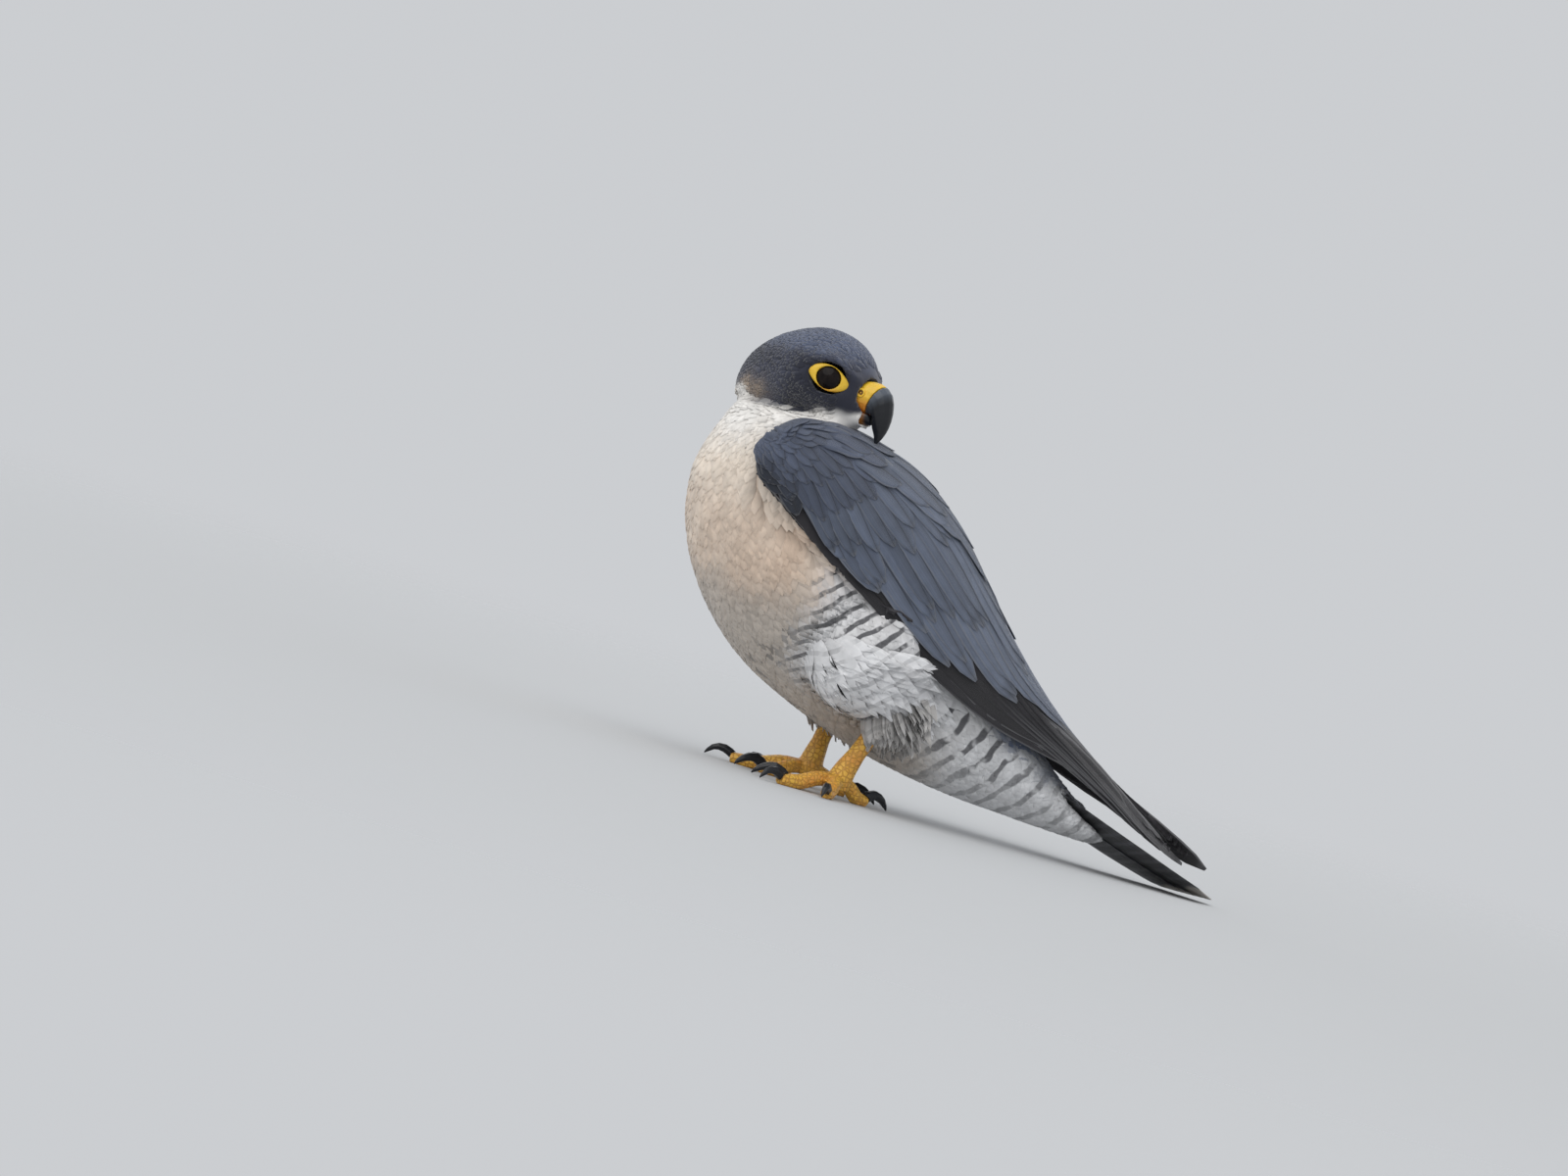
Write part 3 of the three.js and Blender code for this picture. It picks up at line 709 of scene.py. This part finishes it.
print("wings' points to keep clear of:", len(wing_points))

# %% [markdown]
# Feathers that only follow their root's direction float off a round breast and leave dark gaps, so
# each is laid on the skin, a little higher towards its tip, where it covers the next ones' roots.
# Only the loose tufts on the thigh and the short cuff round the leg stand off.

# %% Growing the coat
COAT_THICK = 0.1
ROOT_DEPTH = 0.2
FALL = 210  # mm; a free feather's tip falls by its reach squared over this


def coat(name, seed, spacing, length, half, lift, keep, rest, columns=3, pull=(0, 0, 0), tint=None):
    """Covers the kept part of the skin with small feathers. Rest holds the three numbers that lay
    them on the skin, or is None where they hang free."""
    rng = np.random.default_rng(seed)
    roots, normals = roots_on_skin(rng, spacing, keep)
    fine = clear_of_wings(roots) & clear_of_face(roots)
    roots, normals = roots[fine], normals[fine]
    count = len(roots)
    way = lie(roots, normals)
    way = unit(way + np.cross(normals, way) * rng.normal(0, 0.13, (count, 1)) + pull)
    size = rng.uniform(0.82, 1.18, count)
    reach = length * size * (1 - 0.45 * smoothstep(25, 70, roots[:, 0]))
    reach = reach * (1 - 0.35 * smoothstep(50, 40, roots[:, 2]))
    rise = reach * lift * rng.uniform(0.75, 1.25, count)
    drop = reach**2 / FALL
    tops = small_feathers(roots - normals * ROOT_DEPTH, normals, way, reach, half * size, rise, drop, columns)
    if rest:
        tops = settled(tops, *rest)
    points, faces, smooth = shells(tops, COAT_THICK)
    own = vane_map(count, COAT_ROWS, columns)
    marked = markings(roots)
    if tint is not None:
        marked[:, :3] = blend(marked[:, :3], tint, np.full(count, 0.8))
        marked[:, 3] *= 0.3
    each = len(points) // count
    colour = np.repeat(marked, each, axis=0)
    colour[:, :3] *= np.repeat(rng.uniform(0.9, 1.1, count), each)[:, None]
    # painted shade: each feather is darker towards its root, which lies under the tips of the feathers above
    # it, and lighter towards its tip
    colour[:, :3] *= 0.93 + 0.1 * own[:, 1:]
    maps = {"OFBake": patches(root_map(roots), own), "Vane": own}
    piece(name, points, faces, plumage, maps, colour, smooth)
    print(name, count, "feathers")


def band(low, high, side):
    """A test for the points between two heights on one side of the bird."""
    return lambda p: (p[:, 2] >= low) & (p[:, 2] < high) & (p[:, 1] * side >= 0)


def flank(points, side):
    """True where the loose white feathers grow over the top of the thigh."""
    return (points[:, 1] * side > 28) & (np.abs(points[:, 2] - 64) < 9) & (np.abs(points[:, 0] + 62) < 30)


def cuff(points, top):
    """True where the short feathers grow that hang round the top of a leg."""
    reach = np.hypot(points[:, 0] - top[0], points[:, 1] - top[1])
    return (reach > 3.5) & (reach < 13) & (points[:, 2] < 62)


SIDES = ((-1, "left"), (1, "right"))
LYING = (0.1, 0.9, 0.08)
# name, seed, spacing, length, half width, lift, lowest and highest root, slot, rest
BANDS = [
    ("face", 10, 1.35, 4.6, 1.25, 0.11, 168, 999, "hood", (0.05, 0.38, 0.04)),
    ("neck", 20, 1.9, 9.5, 2.5, 0.075, 142, 168, "breast", (0.1, 0.75, 0.1)),
    ("breast", 30, 2.4, 15, 4.4, 0.075, 88, 142, "breast", LYING),
    ("belly", 40, 2.5, 15, 4.3, 0.085, -9, 88, "barred", LYING),
]
FLANK_TINT = (0.76, 0.76, 0.77)
THIGH_TINT = (0.50, 0.48, 0.46)
for side, half_name in SIDES:
    for title, seed, spacing, length, half, lift, low, high, slot, rest in BANDS:
        coat(f"coat_{title}_{half_name}", seed + side, spacing, length, half, lift, band(low, high, side),
             rest)
    coat(f"coat_flank_{half_name}", 50 + side, 3.4, 25, 3.4, 0.24, lambda p, side=side: flank(p, side),
         (0.3, 2.6, 0.5), 5, (0.75, 0, 0.35), FLANK_TINT)
    leg = merged([f"tarsus_{half_name}"])[0]
    top = leg[leg[:, 2] > leg[:, 2].max() - 6].mean(axis=0)
    coat(f"coat_thigh_{half_name}", 60 + side, 1.7, 13, 2.2, 0.85, lambda p, top=top: cuff(p, top),
         None, 3, (0.1, 0, -0.5), THIGH_TINT)

# %% [markdown]
# ## The folded wing
# Seen from outside, a folded wing is a few tiers of stiff feathers: small coverts like scales at
# the shoulder, then longer ones, the secondaries, and the dark primaries that reach the tail. They
# could be modelled one by one, but their roots and tips follow the wing's own curved face. So the
# face is a function of two numbers, how far along the wing and how far round it, and each tier says
# where its first and last feather start and end on it.

# %% The wing's face
WING = np.array([
    (-134, 37, 156, -142, 41, 145), (-121, 27, 164, -138, 46, 134), (-97, 15, 166.5, -119, 49, 121),
    (-73, 7, 162.5, -95, 51, 106), (-52, 3, 155.5, -67, 51, 93), (-30, 1, 141, -40, 51, 80),
    (-8, 1, 119.5, -12, 47, 68), (17, 1, 95, 12, 41, 60), (44, 1, 71, 48, 34, 51), (76, 1, 49, 78, 26, 39.5),
    (103, 1.5, 33.5, 104, 14, 28), (126, 2.5, 20.5, 127, 6, 18.5)])
WING_FULLNESS = 0.84
FAR_WING_REACH = 15
FAR_WING_SHIFT = 9


def wing_lines(side):
    """The wing's back line and lower edge at 241 even places along it."""
    keys = WING.copy()
    share = np.linspace(0, 1, len(keys))
    if side > 0:
        shift = FAR_WING_REACH * share**3 + FAR_WING_SHIFT * (1 - share) ** 4
        keys[:, 0] += shift
        keys[:, 3] += shift
    keys[:, 1] *= side
    keys[:, 4] *= side
    return spline(keys, 240)


def wing_face(lines, u, angle, inset=1.0):
    """A place on the wing's outer face: u from its bend, 0, to its tip, 1, and the angle in degrees
    from the back line round to the lower edge. Across the wing the face is a squarish quarter oval:
    up * cos(angle) ** WING_FULLNESS + out * sin(angle) ** WING_FULLNESS from its corner."""
    at = np.clip(u, 0, 1) * (len(lines) - 1)
    i = np.minimum(at.astype(int), len(lines) - 2)
    row = lines[i] + (lines[i + 1] - lines[i]) * (at - i)[..., None]
    past = lines[-1] - lines[-6]
    row = row + past * np.maximum(u - 1, 0)[..., None] * (len(lines) - 1) / 5
    back, edge = row[..., :3], row[..., 3:]
    corner = np.stack([edge[..., 0], back[..., 1], edge[..., 2]], -1)
    up, out = back - corner, edge - corner
    up = up * (1 - inset / np.maximum(np.linalg.norm(up, axis=-1, keepdims=True), inset + 0.1))
    out = out * (1 - inset / np.maximum(np.linalg.norm(out, axis=-1, keepdims=True), inset + 0.1))
    a = np.radians(angle)
    full = lambda v: np.sign(v) * np.abs(v) ** WING_FULLNESS
    return corner + up * full(np.cos(a))[..., None] + out * full(np.sin(a))[..., None]


back_line = wing_lines(-1)[:, :3]
print("wing's back line, mm:", round(float(np.linalg.norm(np.diff(back_line, axis=0), axis=1).sum())))

# %% [markdown]
# The tiers are listed from the lowest, the primaries, to the top ones, the scapulars that fall from
# the shoulder over the rest. Each higher tier stands a little further off the face, as it does on
# the bird.

# %% The tiers
BLADE = (0.028, 0.026, 0.030)
QUILL = (0.135, 0.16, 0.22)
COVERT = (0.12, 0.145, 0.205)
SHOULDER = (0.09, 0.11, 0.165)
# name, feathers, roots (first and last, each along and round), tips, half widths, lift, colour, pale rim
TIERS = [
    ("primaries", 11, ((0.30, 90), (0.52, 60)), ((0.72, 91), (1.0, 62)), (6.0, 8.0), 0.1, BLADE, 0.6),
    ("secondaries", 15, ((0.13, 76), (0.38, 10)), ((0.34, 89), (0.89, 14)), (6.5, 9.0), 0.6, QUILL, 0.6),
    ("greater", 15, ((0.10, 74), (0.26, 8)), ((0.26, 88), (0.68, 9)), (6.0, 8.5), 1.0, COVERT, 0.5),
    ("median", 14, ((0.07, 72), (0.19, 8)), ((0.18, 88), (0.46, 8)), (5.5, 8.0), 1.3, COVERT, 0.45),
    ("lesser_5", 14, ((0.06, 84), (0.15, 8)), ((0.145, 89), (0.31, 8)), (5.0, 7.0), 1.5, SHOULDER, 0.4),
    ("lesser_4", 14, ((0.045, 84), (0.11, 8)), ((0.12, 89), (0.235, 8)), (4.6, 6.6), 1.6, SHOULDER, 0.36),
    ("lesser_3", 14, ((0.03, 84), (0.075, 8)), ((0.095, 89), (0.175, 8)), (4.4, 6.2), 1.7, SHOULDER, 0.34),
    ("lesser_2", 14, ((0.012, 84), (0.04, 8)), ((0.07, 89), (0.125, 8)), (4.2, 6.0), 1.8, SHOULDER, 0.3),
    ("lesser_1", 13, ((-0.008, 84), (0.008, 8)), ((0.045, 89), (0.08, 8)), (4.0, 5.4), 1.8, SHOULDER, 0.28),
    ("edge", 12, ((-0.026, 84), (-0.02, 10)), ((0.02, 88), (0.04, 8)), (3.6, 5.0), 1.7, SHOULDER, 0.1),
    ("scapular_low", 5, ((0.24, 34), (0.27, 2)), ((0.43, 38), (0.56, 5)), (8.5, 9.5), 2.1, COVERT, 0.6),
    ("scapular_middle", 5, ((0.16, 36), (0.19, 2)), ((0.33, 40), (0.42, 5)), (8.5, 9.5), 2.3, COVERT, 0.6),
    ("scapular_top", 5, ((0.09, 34), (0.12, 2)), ((0.23, 38), (0.29, 5)), (8.0, 9.0), 2.5, SHOULDER, 0.55),
]
WING_SUNK = 0.9
WING_THICK = 0.28
WING_ROWS, WING_COLUMNS = 15, 7


def blade_outline(t, blunt):
    """A flight feather's half width from root to tip: even, then closing in a round end."""
    body = 0.3 + 0.7 * smoothstep(0, 0.42, t)
    end = np.sqrt(np.clip(1 - ((t - blunt) / (1.001 - blunt)) ** 2, 0.012, 1))
    return body * np.where(t > blunt, end, 1)


def wing_tier(lines, side, tier, rng):
    """The grids, colours and root places of one tier on one wing."""
    _, count, ((u_first, a_first), (u_last, a_last)), tips, halves, lift, colour, rim = tier
    (tip_first, tip_angle), (tip_last, last_angle) = tips
    share = np.linspace(0, 1, count)
    jitter = rng.normal(0, 1, (3, count))
    uneven = 0.05 * (tip_first + tip_last - u_first - u_last)
    u0 = np.interp(share, [0, 1], [u_first, u_last]) + 0.003 * jitter[0]
    u1 = np.interp(share**0.72, [0, 1], [tip_first, tip_last]) + uneven * jitter[1]
    a0 = np.interp(share, [0, 1], [a_first, a_last])
    a1 = np.interp(share**2, [0, 1], [tip_angle, last_angle]) + 1.2 * jitter[2]
    half = np.interp(share, [0, 1], halves)
    t = np.linspace(0, 1, WING_ROWS)[None, :]
    u = u0[:, None] + (u1 - u0)[:, None] * t
    a = a0[:, None] + (a1 - a0)[:, None] * t
    centre = wing_face(lines, u, a)
    normal = unit(np.cross(wing_face(lines, u, np.minimum(a + 4, 94)) - wing_face(lines, u, a - 4),
                           wing_face(lines, u + 0.02, a) - wing_face(lines, u - 0.02, a))) * -side
    way = unit(np.gradient(centre, axis=1))
    across = unit(np.cross(way, normal))
    wide = half[:, None] * blade_outline(t, 0.66)
    s = np.linspace(-1, 1, WING_COLUMNS)[None, None, :, None]
    stand = -WING_SUNK * (1 - t) + lift * smoothstep(0, 0.5, t)
    shingle = -0.35 * s * side
    wide, stand = wide[..., None, None], stand[..., None, None]
    grid = (centre[:, :, None] + across[:, :, None] * wide * s
            + normal[:, :, None] * (stand - wide**2 / 78 * s**2 + shingle))
    tone = np.array(colour) * rng.uniform(0.82, 1.18, (count, 1))
    shoulder = smoothstep(55, 80, a0) * smoothstep(0.30, 0.08, u0)
    shoulder = shoulder * smoothstep(0.05, 0.1, u1) * smoothstep(0.3, 0.2, u1)
    tone = tone * (1 - 0.78 * shoulder)[:, None]
    paint = np.hstack([tone, np.full((count, 1), rim)])
    return grid, paint, np.stack([0.02 + 0.5 * np.clip(u0, 0, 1), 0.3 * side + 0.5 + a0 / 1200], -1)


def blade_paint(name, roughness=0.5):
    """Flight feathers: a dark shaft, a pale rim and barbs that slant from the shaft to the edges."""
    paint = Paint(name, roughness, Sheen_Weight=0.15, Specular_IOR_Level=0.35)
    colour, rim = paint.given()
    side, t, vane = paint.vane()
    place_vector = paint.place()[1]
    mottle = paint.noise(place_vector, 120, 3)
    streak = paint.noise(vane, 1.0, 3, (26, 2.2, 1))
    worn = (mottle * 0.45 + streak * 0.55 + 0.42) * (side.step(0.0, 0.75) * 0.35 + 0.82)
    colour = paint.shade(colour, worn)
    fringe = side.step(0.82, 0.97) * t.step(0.3, 0.7)
    end = t.step(0.955, 0.99)
    pale = paint.mix(0.42, colour, (0.60, 0.60, 0.62, 1))
    colour = paint.mix((fringe + end * 0.8) * rim, colour, pale)
    shaft = 1 - side.step(0.02, 0.075)
    colour = paint.mix(shaft * 0.6, colour, (0.02, 0.02, 0.024, 1))
    barbs = ((t * 16 - side * 3.2) * 60).wave() * 0.5 + streak * 0.6
    return paint.wear(colour, bump=barbs + shaft * 2, depth=0.00025)


flight = blade_paint("flight_feathers")
for side, half_name in SIDES:
    node = f"wing_{half_name}"
    lines = wing_lines(side)
    core_points, core_faces = wrapped([node], 1.5, 5, 1.9)
    dark = np.tile([*BLADE, 0.0], (len(core_points), 1))
    core = piece(f"{node}_core", core_points, core_faces, plumage, colour=dark)
    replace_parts(core, node)
    rng = np.random.default_rng(71 + side)
    grids, paints, places = zip(*[wing_tier(lines, side, tier, rng) for tier in TIERS])
    tops = np.concatenate(grids)
    points, faces, smooth = shells(tops, WING_THICK)
    own = vane_map(len(tops), WING_ROWS, WING_COLUMNS)
    colour = np.repeat(np.concatenate(paints), len(points) // len(tops), axis=0)
    maps = {"OFBake": patches(np.concatenate(places), own), "Vane": own}
    piece(f"{node}_feathers", points, faces, flight, maps, colour, smooth)
    print(node, len(tops), "feathers")

# %% [markdown]
# ## The tail
# Twelve long feathers lie almost shut over each other, the middle pair on top. They are blackish
# with faint grey bars and end in rounded whitish tips, so they get a paint of their own.

# %% Tail feathers
TAIL_ROOT = np.array([24, 0, 41.0])
TAIL_TIP = np.array([156, 0, 1.7])
TAIL_HALF = 25
TAIL_ROLL = 7
TAIL_PAIRS = 6
TAIL_THICK = 0.3
TAIL_ROWS, TAIL_COLUMNS = 22, 9


def tail_middle(t):
    """The line down the tail's middle: it falls quickly at the root and lies level at the tip."""
    z = TAIL_ROOT[2] * np.clip(1 - t, 0, 1) ** 1.15 + TAIL_TIP[2] * t
    return np.stack([TAIL_ROOT[0] + (TAIL_TIP[0] - TAIL_ROOT[0]) * t, 0 * t, z], -1)


def tail_grids():
    """The twelve feathers' grids, fanned a little from the middle pair outwards and downwards."""
    pair = np.tile(np.arange(TAIL_PAIRS), 2)[:, None]
    side = np.repeat([-1, 1], TAIL_PAIRS)[:, None]
    spread = side * (0.12 + pair / (TAIL_PAIRS - 1)) * 12.2
    t = np.linspace(0.06, 1, TAIL_ROWS)[None, :] * (1 - 0.016 * pair)
    wide = 10.6 * blade_outline(np.linspace(0, 1, TAIL_ROWS), 0.88)[None, :, None]
    y = spread * (0.55 + 0.45 * np.minimum(1, t * 1.6))
    tilt = -TAIL_ROLL * (1 - t * 0.6) / TAIL_HALF
    height = 0.42 * (2.6 - pair) * (1 - 0.3 * t) + 0.12 * side
    middle_line = tail_middle(t)
    s = np.linspace(-1, 1, TAIL_COLUMNS)[None, None, :]
    gx = middle_line[..., :1] + 0 * s
    gy = y[..., None] + wide * s
    gz = middle_line[..., 2:] + height[..., None] + tilt[..., None] * gy - wide**2 / 130 * s**2
    gz = np.maximum(gz, 0.35)
    return np.stack([gx, gy, gz], -1)[:, :, ::-1]


def tail_paint():
    """Blackish vanes with soft grey bars across and a whitish end."""
    paint = Paint("tail_feathers", 0.5, Sheen_Weight=0.15, Specular_IOR_Level=0.3)
    side, t, vane = paint.vane()
    streak = paint.noise(vane, 1.0, 3, (22, 3, 1))
    bars = ((t * 15 + side * 0.25) * (2 * np.pi)).wave().step(0.1, 0.8)
    colour = paint.mix(bars * 0.5, (0.030, 0.030, 0.036, 1), (0.13, 0.135, 0.15, 1))
    colour = paint.shade(colour, streak * 0.7 + 0.6)
    colour = paint.mix((t - side * 0.012).step(0.925, 0.955), colour, (0.52, 0.48, 0.43, 1))
    shaft = 1 - side.step(0.02, 0.07)
    colour = paint.mix(shaft * 0.7, colour, (0.015, 0.014, 0.014, 1))
    barbs = ((t * 20 - side * 3) * 60).wave() * 0.5 + streak * 0.6
    return paint.wear(colour, bump=barbs + shaft * 2, depth=0.00025)


tops = tail_grids()
points, faces, smooth = shells(tops, TAIL_THICK)
own = vane_map(len(tops), TAIL_ROWS, TAIL_COLUMNS)
places = np.stack([np.linspace(0.1, 0.9, len(tops)), np.full(len(tops), 0.98)], -1)
maps = {"OFBake": patches(places, own), "Vane": own}
tail = piece("tail_feathers", points, faces, tail_paint(), maps, smooth=smooth)
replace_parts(tail, "tail")
print("tail of", len(tops), "feathers")

# %% [markdown]
# ## Bill, cere and rings
# The head gets the closest look. The solids already have the hooked bill, the waxy cere with its
# nostrils and the bare rings round the eyes, but with flat facets. The bill and cere are wrapped in
# very small cells and relaxed, which keeps their edges but rounds the facets away. The nostrils and
# rings are made anew from profiles.

# %% Horn and bare skin
GAPE = (0.72, 0.27, 0.03, 1)


def forward_of(paint, place_vector):
    """How far forward of the head's centre a place is, in metres, as a shader value."""
    centre = tuple(HEAD_CENTRE * MM)
    moved = paint.node("ShaderNodeVectorMath", {"operation": "SUBTRACT"}, {0: place_vector, 1: centre})
    values = {0: moved, 1: tuple(HEAD_FORWARD)}
    return paint.node("ShaderNodeVectorMath", {"operation": "DOT_PRODUCT"}, values, "Value")


def horn_paint():
    """Blue-grey at the base to near black at the hook, and orange where the lower bill starts."""
    paint = Paint("bill_horn", 0.36, Coat_Weight=0.15, Coat_Roughness=0.2, Specular_IOR_Level=0.35)
    (_, _, z), place_vector = paint.place()
    forward = forward_of(paint, place_vector)
    ahead = forward + (0.184 - z) * 0.9
    cloudy = paint.noise(place_vector, 180, 3)
    share = (ahead + (cloudy - 0.5) * 0.004).step(0.033, 0.042)
    colour = paint.mix(share, (0.085, 0.10, 0.125, 1), (0.008, 0.009, 0.012, 1))
    base = forward.step(0.0325, 0.0275) * (0.1775 - z).step(0, 0.002) * (z - 0.15).step(0, 0.002)
    colour = paint.mix(base, colour, GAPE)
    return paint.wear(colour, bump=paint.noise(place_vector, 900, 2), depth=0.0001)


def wax_paint():
    """Bright yellow wax, warmer towards the gape, finely wrinkled."""
    paint = Paint("wax", 0.42, Coat_Weight=0.15, Coat_Roughness=0.2, Subsurface_Weight=0.08)
    (_, _, z), place_vector = paint.place()
    cloudy = paint.noise(place_vector, 160, 3)
    low = (z * -1).step(-0.1835, -0.178)
    colour = paint.mix(low, (0.83, 0.50, 0.03, 1), (0.78, 0.27, 0.03, 1))
    colour = paint.shade(colour, cloudy * 0.5 + 0.74)
    return paint.wear(colour, bump=paint.noise(place_vector, 1300, 3), depth=0.0002)


horn, wax = horn_paint(), wax_paint()
for node, finish, slot, cell in (
        ("bill_upper", horn, "horn", 0.4), ("bill_lower", horn, "horn", 0.4), ("cere", wax, "skin", 0.33)):
    points, faces = wrapped([node], cell, 6, 0.0)
    made = piece(f"{node}_fine", points, faces, finish)
    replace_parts(made, node)
    print(node, len(faces), "quads")
cere_points, cere_normals = points, normals_of(points, faces)

# %% [markdown]
# Each nostril is a round hole in the cere with a raised rim and a small peg in its middle, which
# slows the air in a dive. Here the hole is closed by a shallow well coloured dark brown, as painted
# shade for the depth of the hole. It is set on the cere's own surface, at the nearest place to where the
# solid has its hole.

# %% Nostrils
NOSTRIL_AT = np.array([28.2, 9.0, -0.2])


def turned_profile(centre, axis, profile, sides=40):
    """A round form: a profile of (radius, height) pairs carried once round the axis."""
    first = unit(np.cross(axis, UP))
    second = np.cross(axis, first)
    a = np.arange(sides)[:, None] / sides * 2 * np.pi
    radius, height = np.array(profile, float).T
    spoke = first * np.cos(a)[..., None] + second * np.sin(a)[..., None]
    points = centre + spoke * radius[None, :, None] + axis * height[None, :, None]
    points = points.reshape(-1, 3)
    return points, outward(points, lattice(sides, len(profile)))


t = np.linspace(0, 2 * np.pi, 17)[:-1]
RIM = [(1.7 + 0.45 * np.cos(b), 0.1 + 0.4 * np.sin(b)) for b in t]
PEG = [(0.02, -0.4), (0.4, -0.4), (0.42, -0.1), (0.3, 0.12), (0.02, 0.18)]
WELL = [(0.02, 0.02), (1.5, 0.05), (1.5, -0.3), (0.02, -0.3)]
NOSTRIL_WIDE = 2.2
# the well's dark browns are painted shade: they stand for the depth of the open hole
pit = Paint("nostril", 0.6)
pit_noise = pit.noise(pit.place()[1], 700, 2)
pit.wear(pit.mix(pit_noise, (0.10, 0.035, 0.01, 1), (0.16, 0.06, 0.012, 1)))
for side, half_name in SIDES:
    near = np.linalg.norm(cere_points - on_head(NOSTRIL_AT, side), axis=1)
    around = near < near.min() + NOSTRIL_WIDE
    axis = unit(cere_normals[around].mean(0) * 0.5 + HEAD_RIGHT * side)
    centre = cere_points[around].mean(0) + axis * 0.25
    for title, profile, finish in (("rim", RIM, wax), ("peg", PEG, wax), ("well", WELL, pit.material)):
        points, faces = turned_profile(centre, axis, profile)
        piece(f"nostril_{title}_{half_name}", points, faces, finish)
print("nostrils set")

# %% [markdown]
# ## Eyes
# A falcon's eye is so dark that the pupil doesn't show: a wet brown-black ball. A sphere with a thin
# clear coat gives the faint glint of the sky.

# %% Eyes
EYE_RADIUS = 7.15
EYE_TURN = 0.5  # radians that the eye looks forward of sideways


def ball(centre, radius, rows=28, sides=44):
    """A sphere: rings at even angles from pole to pole, with the poles closed by triangles."""
    j = np.arange(sides)
    a, b = np.meshgrid(np.linspace(0, np.pi, rows + 1)[1:-1], j / sides * 2 * np.pi, indexing="ij")
    rings = np.stack([np.sin(a) * np.cos(b), np.sin(a) * np.sin(b), np.cos(a)], -1).reshape(-1, 3)
    points = np.vstack([rings, [[0, 0, 1], [0, 0, -1]]]) * radius + centre
    quads = lattice(rows - 1, sides, False)
    k = (j + 1) % sides
    top, low = len(rings), len(rings) + 1
    last = (rows - 2) * sides
    caps = np.vstack([np.stack([0 * j + top, j, k], -1), np.stack([last + k, last + j, 0 * j + low], -1)])
    return points, np.vstack([quads[:, [0, 3, 2]], quads[:, [0, 2, 1]], caps])


def eye_paint():
    """Nearly black brown, faintly mottled."""
    paint = Paint("eye", 0.2, Coat_Weight=0.1, Coat_Roughness=0.03, Specular_IOR_Level=0.08)
    cloudy = paint.noise(paint.place()[1], 500, 2)
    return paint.wear(paint.mix(cloudy.step(0.3, 0.7), (0.006, 0.004, 0.004, 1), (0.012, 0.008, 0.007, 1)))


wet = eye_paint()
for side, half_name in SIDES:
    points, faces = ball(on_head(EYE_AT, side), EYE_RADIUS)
    eye = piece(f"eye_{half_name}_fine", points, faces, wet)
    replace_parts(eye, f"eye_{half_name}")
print("eyes of radius", EYE_RADIUS)

# %% [markdown]
# The bare skin round the eye is a narrow lid above and below, and widens to a point behind and a
# broader patch in front. It is a tube bent round the eye, whose width follows the angle round it.

# %% Eye rings
RING_OUT = 3.9


def eye_ring(side, steps=96, sides=16):
    """At angle a round the eye the bare skin lies between the lid's opening and an outline that is
    long before and behind and low above and below; the tube's section is an oval between the two."""
    out = HEAD_RIGHT * side * np.cos(EYE_TURN) + HEAD_FORWARD * np.sin(EYE_TURN)
    across = unit(np.cross(out, UP)) * side
    middle = on_head(EYE_AT, side) + out * RING_OUT
    a = np.arange(steps)[:, None] / steps * 2 * np.pi
    b = np.arange(sides)[None, :] / sides * 2 * np.pi
    corner = 1 + 0.18 * np.abs(np.cos(a)) ** 5
    flat = np.stack([np.cos(a) * 8.5 * corner, np.sin(a) * 5.9 + 1.3 * np.cos(a)], -1)
    length = np.linalg.norm(flat, axis=-1)
    way = flat / length[..., None]
    hole = 5.85 - 0.5 * np.sin(a) ** 2
    wide = (length - hole) / 2
    radial = across * way[..., :1] + UP * way[..., 1:]
    run = length - wide + np.cos(b) * wide
    rise = np.sin(b) * 0.75 - (run - hole) * 0.42 + 0.9
    points = middle + radial.reshape(steps, 1, 3) * run[..., None] + out * rise[..., None]
    points = points.reshape(-1, 3)
    return points, outward(points, lattice(steps, sides))


for side, half_name in SIDES:
    points, faces = eye_ring(side)
    ring = piece(f"eye_ring_{half_name}", points, faces, wax)
    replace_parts(ring, f"orbital_ring_{half_name}")
print("rings round both eyes")

# %% [markdown]
# ## Legs and claws
# The bare legs are yellow and scaled: plates down the front of the shank and across each toe, small
# round scales elsewhere. Each foot is wrapped as one skin, and its scales are relief and colour, as
# small cells of about one size all over.

# %% Feet
TOES = ["inner", "middle", "outer", "rear"]


def scale_paint():
    """Yellow scales, darker and more orange in the grooves."""
    paint = Paint("scales", 0.48, Coat_Weight=0.1, Specular_IOR_Level=0.4)
    place_vector = paint.place()[1]
    values = {"Vector": place_vector, "Scale": 430.0, "Randomness": 0.6}
    cell = paint.node("ShaderNodeTexVoronoi", {"feature": "DISTANCE_TO_EDGE"}, values, "Distance")
    groove = cell.step(0.02, 0.16)
    cloudy = paint.noise(place_vector, 140, 3)
    colour = paint.mix(cloudy.step(0.3, 0.75), (0.80, 0.48, 0.07, 1), (0.74, 0.33, 0.06, 1))
    colour = paint.mix(groove, (0.56, 0.28, 0.05, 1), colour)
    return paint.wear(colour, bump=groove, depth=0.0007)


scales, claw_horn = scale_paint(), horn_paint()
for _, half_name in SIDES:
    toes = [f"toe_{toe}_{half_name}" for toe in TOES]
    tips = [f"claw_{toe}_{half_name}" for toe in TOES]
    for title, nodes, cell, finish, slot in (
            ("foot", [f"tarsus_{half_name}", *toes], 0.6, scales, "skin"),
            ("claws", tips, 0.35, claw_horn, "horn")):
        points, faces = wrapped(nodes, cell, 4, 0.0)
        points[:, 2] = np.maximum(points[:, 2], 0)
        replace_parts(piece(f"{title}_{half_name}", points, faces, finish), *nodes)
    print("foot", half_name, "ready")
